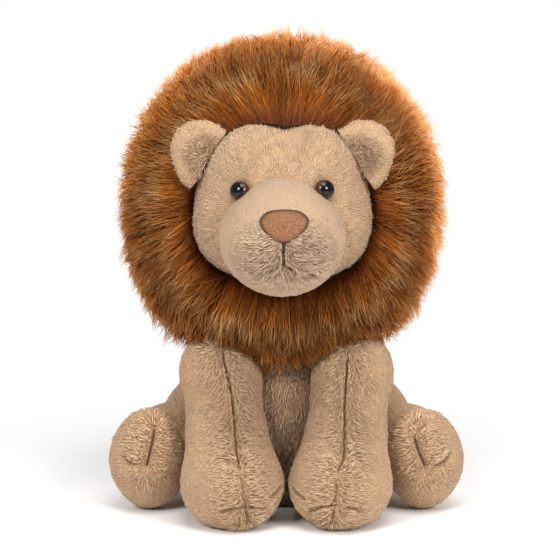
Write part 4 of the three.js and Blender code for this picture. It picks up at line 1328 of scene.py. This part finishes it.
HAIRS_IN_LOCK = 7
for name, first, last, locks, seed in (
    ("face", 0.0, 0.3, 1120, 71),
    ("front", 0.3, 0.72, 1120, 72),
    ("rim", 0.72, 1.25, 1150, 73),
    ("back", 1.25, 1.98, 830, 74),
):
    places, width, tone, pale_and_painted_light = hairs(first, last, locks, HAIRS_IN_LOCK, seed)
    points, faces, along, flat, steps = tufts(places, width, (1.0, 1.0, 0.82, 0.48))
    # Each hair's colour moves towards its tip's by its paleness, which at the rim is painted light
    along = along + np.repeat(pale_and_painted_light, steps) * (1 - along)
    values = {"along": along, "tone": np.repeat(tone, steps)}
    lock = add_mesh(f"mane_{name}_pile", points, faces, mane_acrylic, flat, values)
    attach(lock, "head")

# The tail: a thin stuffed tube of beige plush that turns in a pocket of the body's back seam and
# lies on the floor. A tuft of the mane's long pile is sewn over its end.
TAIL_LINE = [(0, 58, 26), (0.5, 66, 18), (4.5, 73.2, 11.2), (14, 80, 7.4), (27, 87, 6.6), (38, 92, 6.6)]
TAIL_RADIUS = 6.2
TUFT = (33.8, 93, 11.5)
TUFT_LENGTH = 40
TUFT_RADIUS = 11.5


def tail_form(points):
    """The tail without its pile: tubes along its line, melted together, flat on the floor."""
    form = ball(points, TAIL_LINE[0], TAIL_RADIUS + 1.5)
    for a, b in zip(TAIL_LINE[:-1], TAIL_LINE[1:]):
        form = meld(form, tube(points, a, b, TAIL_RADIUS, TAIL_RADIUS), 2)
    return np.maximum(form + 1.6, 0.7 - points[..., 2])


def tail_comb(points, normals):
    """Pile combed towards the tail's end."""
    return np.array([0.7, 0.6, -0.3]) + 0 * points


tail_skin = wrap(TAIL_LINE, (0.6, -0.7, 0.3), tail_form, 70, 40, 12)
tail = plush_piece(
    "tail_plush",
    tail_skin,
    pile(tail_skin, 0.85, 2.6, 1.32, tail_comb, [], 81, width=0.28),
    beige_plush,
)
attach(tail, "tail")
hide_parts("tail")

def swell(run):
    """How full the tuft is at a share of its length: the root of run times 1 - run to the power 0.62,
    which is 1 at most."""
    return np.sqrt(np.clip(run, 0, 1)) * np.clip(1 - run, 0, 1) ** 0.62 / 0.53


dice = np.random.default_rng(91)
tuft_count = 1900
root_share = dice.random(tuft_count) ** 1.3
root_turn = dice.uniform(0, 2 * math.pi, tuft_count)
reach = np.clip(root_share * 0.45 + dice.uniform(0.35, 0.6, tuft_count), 0, 1.04)
t = np.linspace(0, 1, 5)[None]
run = 0.62 * root_share[:, None] * (1 - t) + reach[:, None] * t
outer = TUFT_RADIUS * swell(run) * dice.uniform(0.7, 1.08, (tuft_count, 1))
spread = 3 * (1 - t) + outer * t ** 0.7
root_turn = root_turn[:, None] + 0.25 * dice.normal(0, 1, (tuft_count, 1)) * t
tuft_places = np.stack([
    TUFT[0] + TUFT_LENGTH * run,
    TUFT[1] + spread * np.cos(root_turn),
    np.maximum(TUFT[2] + spread * np.sin(root_turn), FLOOR_GAP),
], axis=-1)
width = HAIR_WIDTH * dice.uniform(0.8, 1.3, tuft_count)
points, faces, along, flat, steps = tufts(tuft_places, width, (1.0, 1.0, 0.85, 0.55))
tone = np.clip(dice.normal(0.5, 0.24, tuft_count), 0, 1)
core_share = np.linspace(0, 1, 30)[:, None]
core_turn = np.linspace(0, 2 * math.pi, 24, endpoint=False)
core_radius = 0.55 * TUFT_RADIUS * swell(core_share)
core = np.stack([
    TUFT[0] + 0.9 * TUFT_LENGTH * core_share + 0 * core_turn,
    TUFT[1] + core_radius * np.cos(core_turn),
    TUFT[2] + core_radius * np.sin(core_turn),
], axis=-1)
core_points, core_faces, core_flat = grid_faces(core)
tuft = add_mesh(
    "tail_tuft_pile",
    np.concatenate([core_points, points]),
    np.concatenate([core_faces, faces + len(core_points)]),
    mane_acrylic,
    np.concatenate([core_flat, flat]),
    {
        "along": np.append(np.zeros(len(core_points)), along),
        "tone": np.append(np.full(len(core_points), 0.5), np.repeat(tone, steps)),
    },
)
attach(tuft, "tail")
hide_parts("tail_tuft")

# The hidden parts that come straight from the model: the neck's stuffing, the pellet bag in the
# seat and the washers behind the eyes.
# Cotton bag: plain weave, matt, its threads drawn 1.6 mm apart, coarse enough to show
cotton = patterned(
    "cotton_pellet_bag",
    [("ShaderNodeTexWave", {"bands_direction": way, "Scale": 200.0}) for way in "XZ"],
    ("#C9C2B2", "#EDE8DC"),
    {"Roughness": 0.9, "Specular IOR Level": 0.2},
    (0.4, 0.0003),
)

# Moulded polypropylene washer: milky white, faintly mottled, half matt
washer_plastic = patterned(
    "moulded_polypropylene_washer",
    [("ShaderNodeTexNoise", {"Scale": 300.0, "Detail": 2.0})],
    ("#DCDCD8", "#F0F0EE"),
    {"Roughness": 0.45, "IOR": 1.49},
)

for cad_name, material in (
    ("neck_stuffing", fibre),
    ("pellet_bag", cotton),
    ("eye_washer_left", washer_plastic),
    ("eye_washer_right", washer_plastic),
):
    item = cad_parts[cad_name]
    for held in item.material_slots:
        held.material = material

# The gathering thread round the neck, pulled tight so that it sinks into the plush
GATHER_RADIUS = 26.2
GATHER_THREAD = 0.6
AROUND, ACROSS = 96, 8
ring_turn = np.linspace(0, 2 * math.pi, AROUND, endpoint=False)[:, None]
ring_round = np.linspace(0, 2 * math.pi, ACROSS, endpoint=False)[None]
ring_out = GATHER_RADIUS + GATHER_THREAD * np.cos(ring_round)
ring = np.stack([
    ring_out * np.cos(ring_turn),
    BODY_BACK + BODY_DEPTH * ring_out * np.sin(ring_turn),
    NECK_HEIGHT + GATHER_THREAD * np.sin(ring_round) + 0 * ring_turn,
], axis=-1)
k, j = np.meshgrid(np.arange(AROUND), np.arange(ACROSS), indexing="ij")
near_side, far_side = ACROSS * k + j, ACROSS * ((k + 1) % AROUND) + j
near_next, far_next = ACROSS * k + (j + 1) % ACROSS, ACROSS * ((k + 1) % AROUND) + (j + 1) % ACROSS
ring_faces = np.concatenate([
    np.stack([near_side, far_side, far_next], axis=-1).reshape(-1, 3),
    np.stack([near_side, far_next, near_next], axis=-1).reshape(-1, 3),
])
gathering = add_mesh("neck_gathering_thread", ring.reshape(-1, 3), ring_faces, brown_thread)
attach(gathering, "torso")
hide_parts("neck_thread")
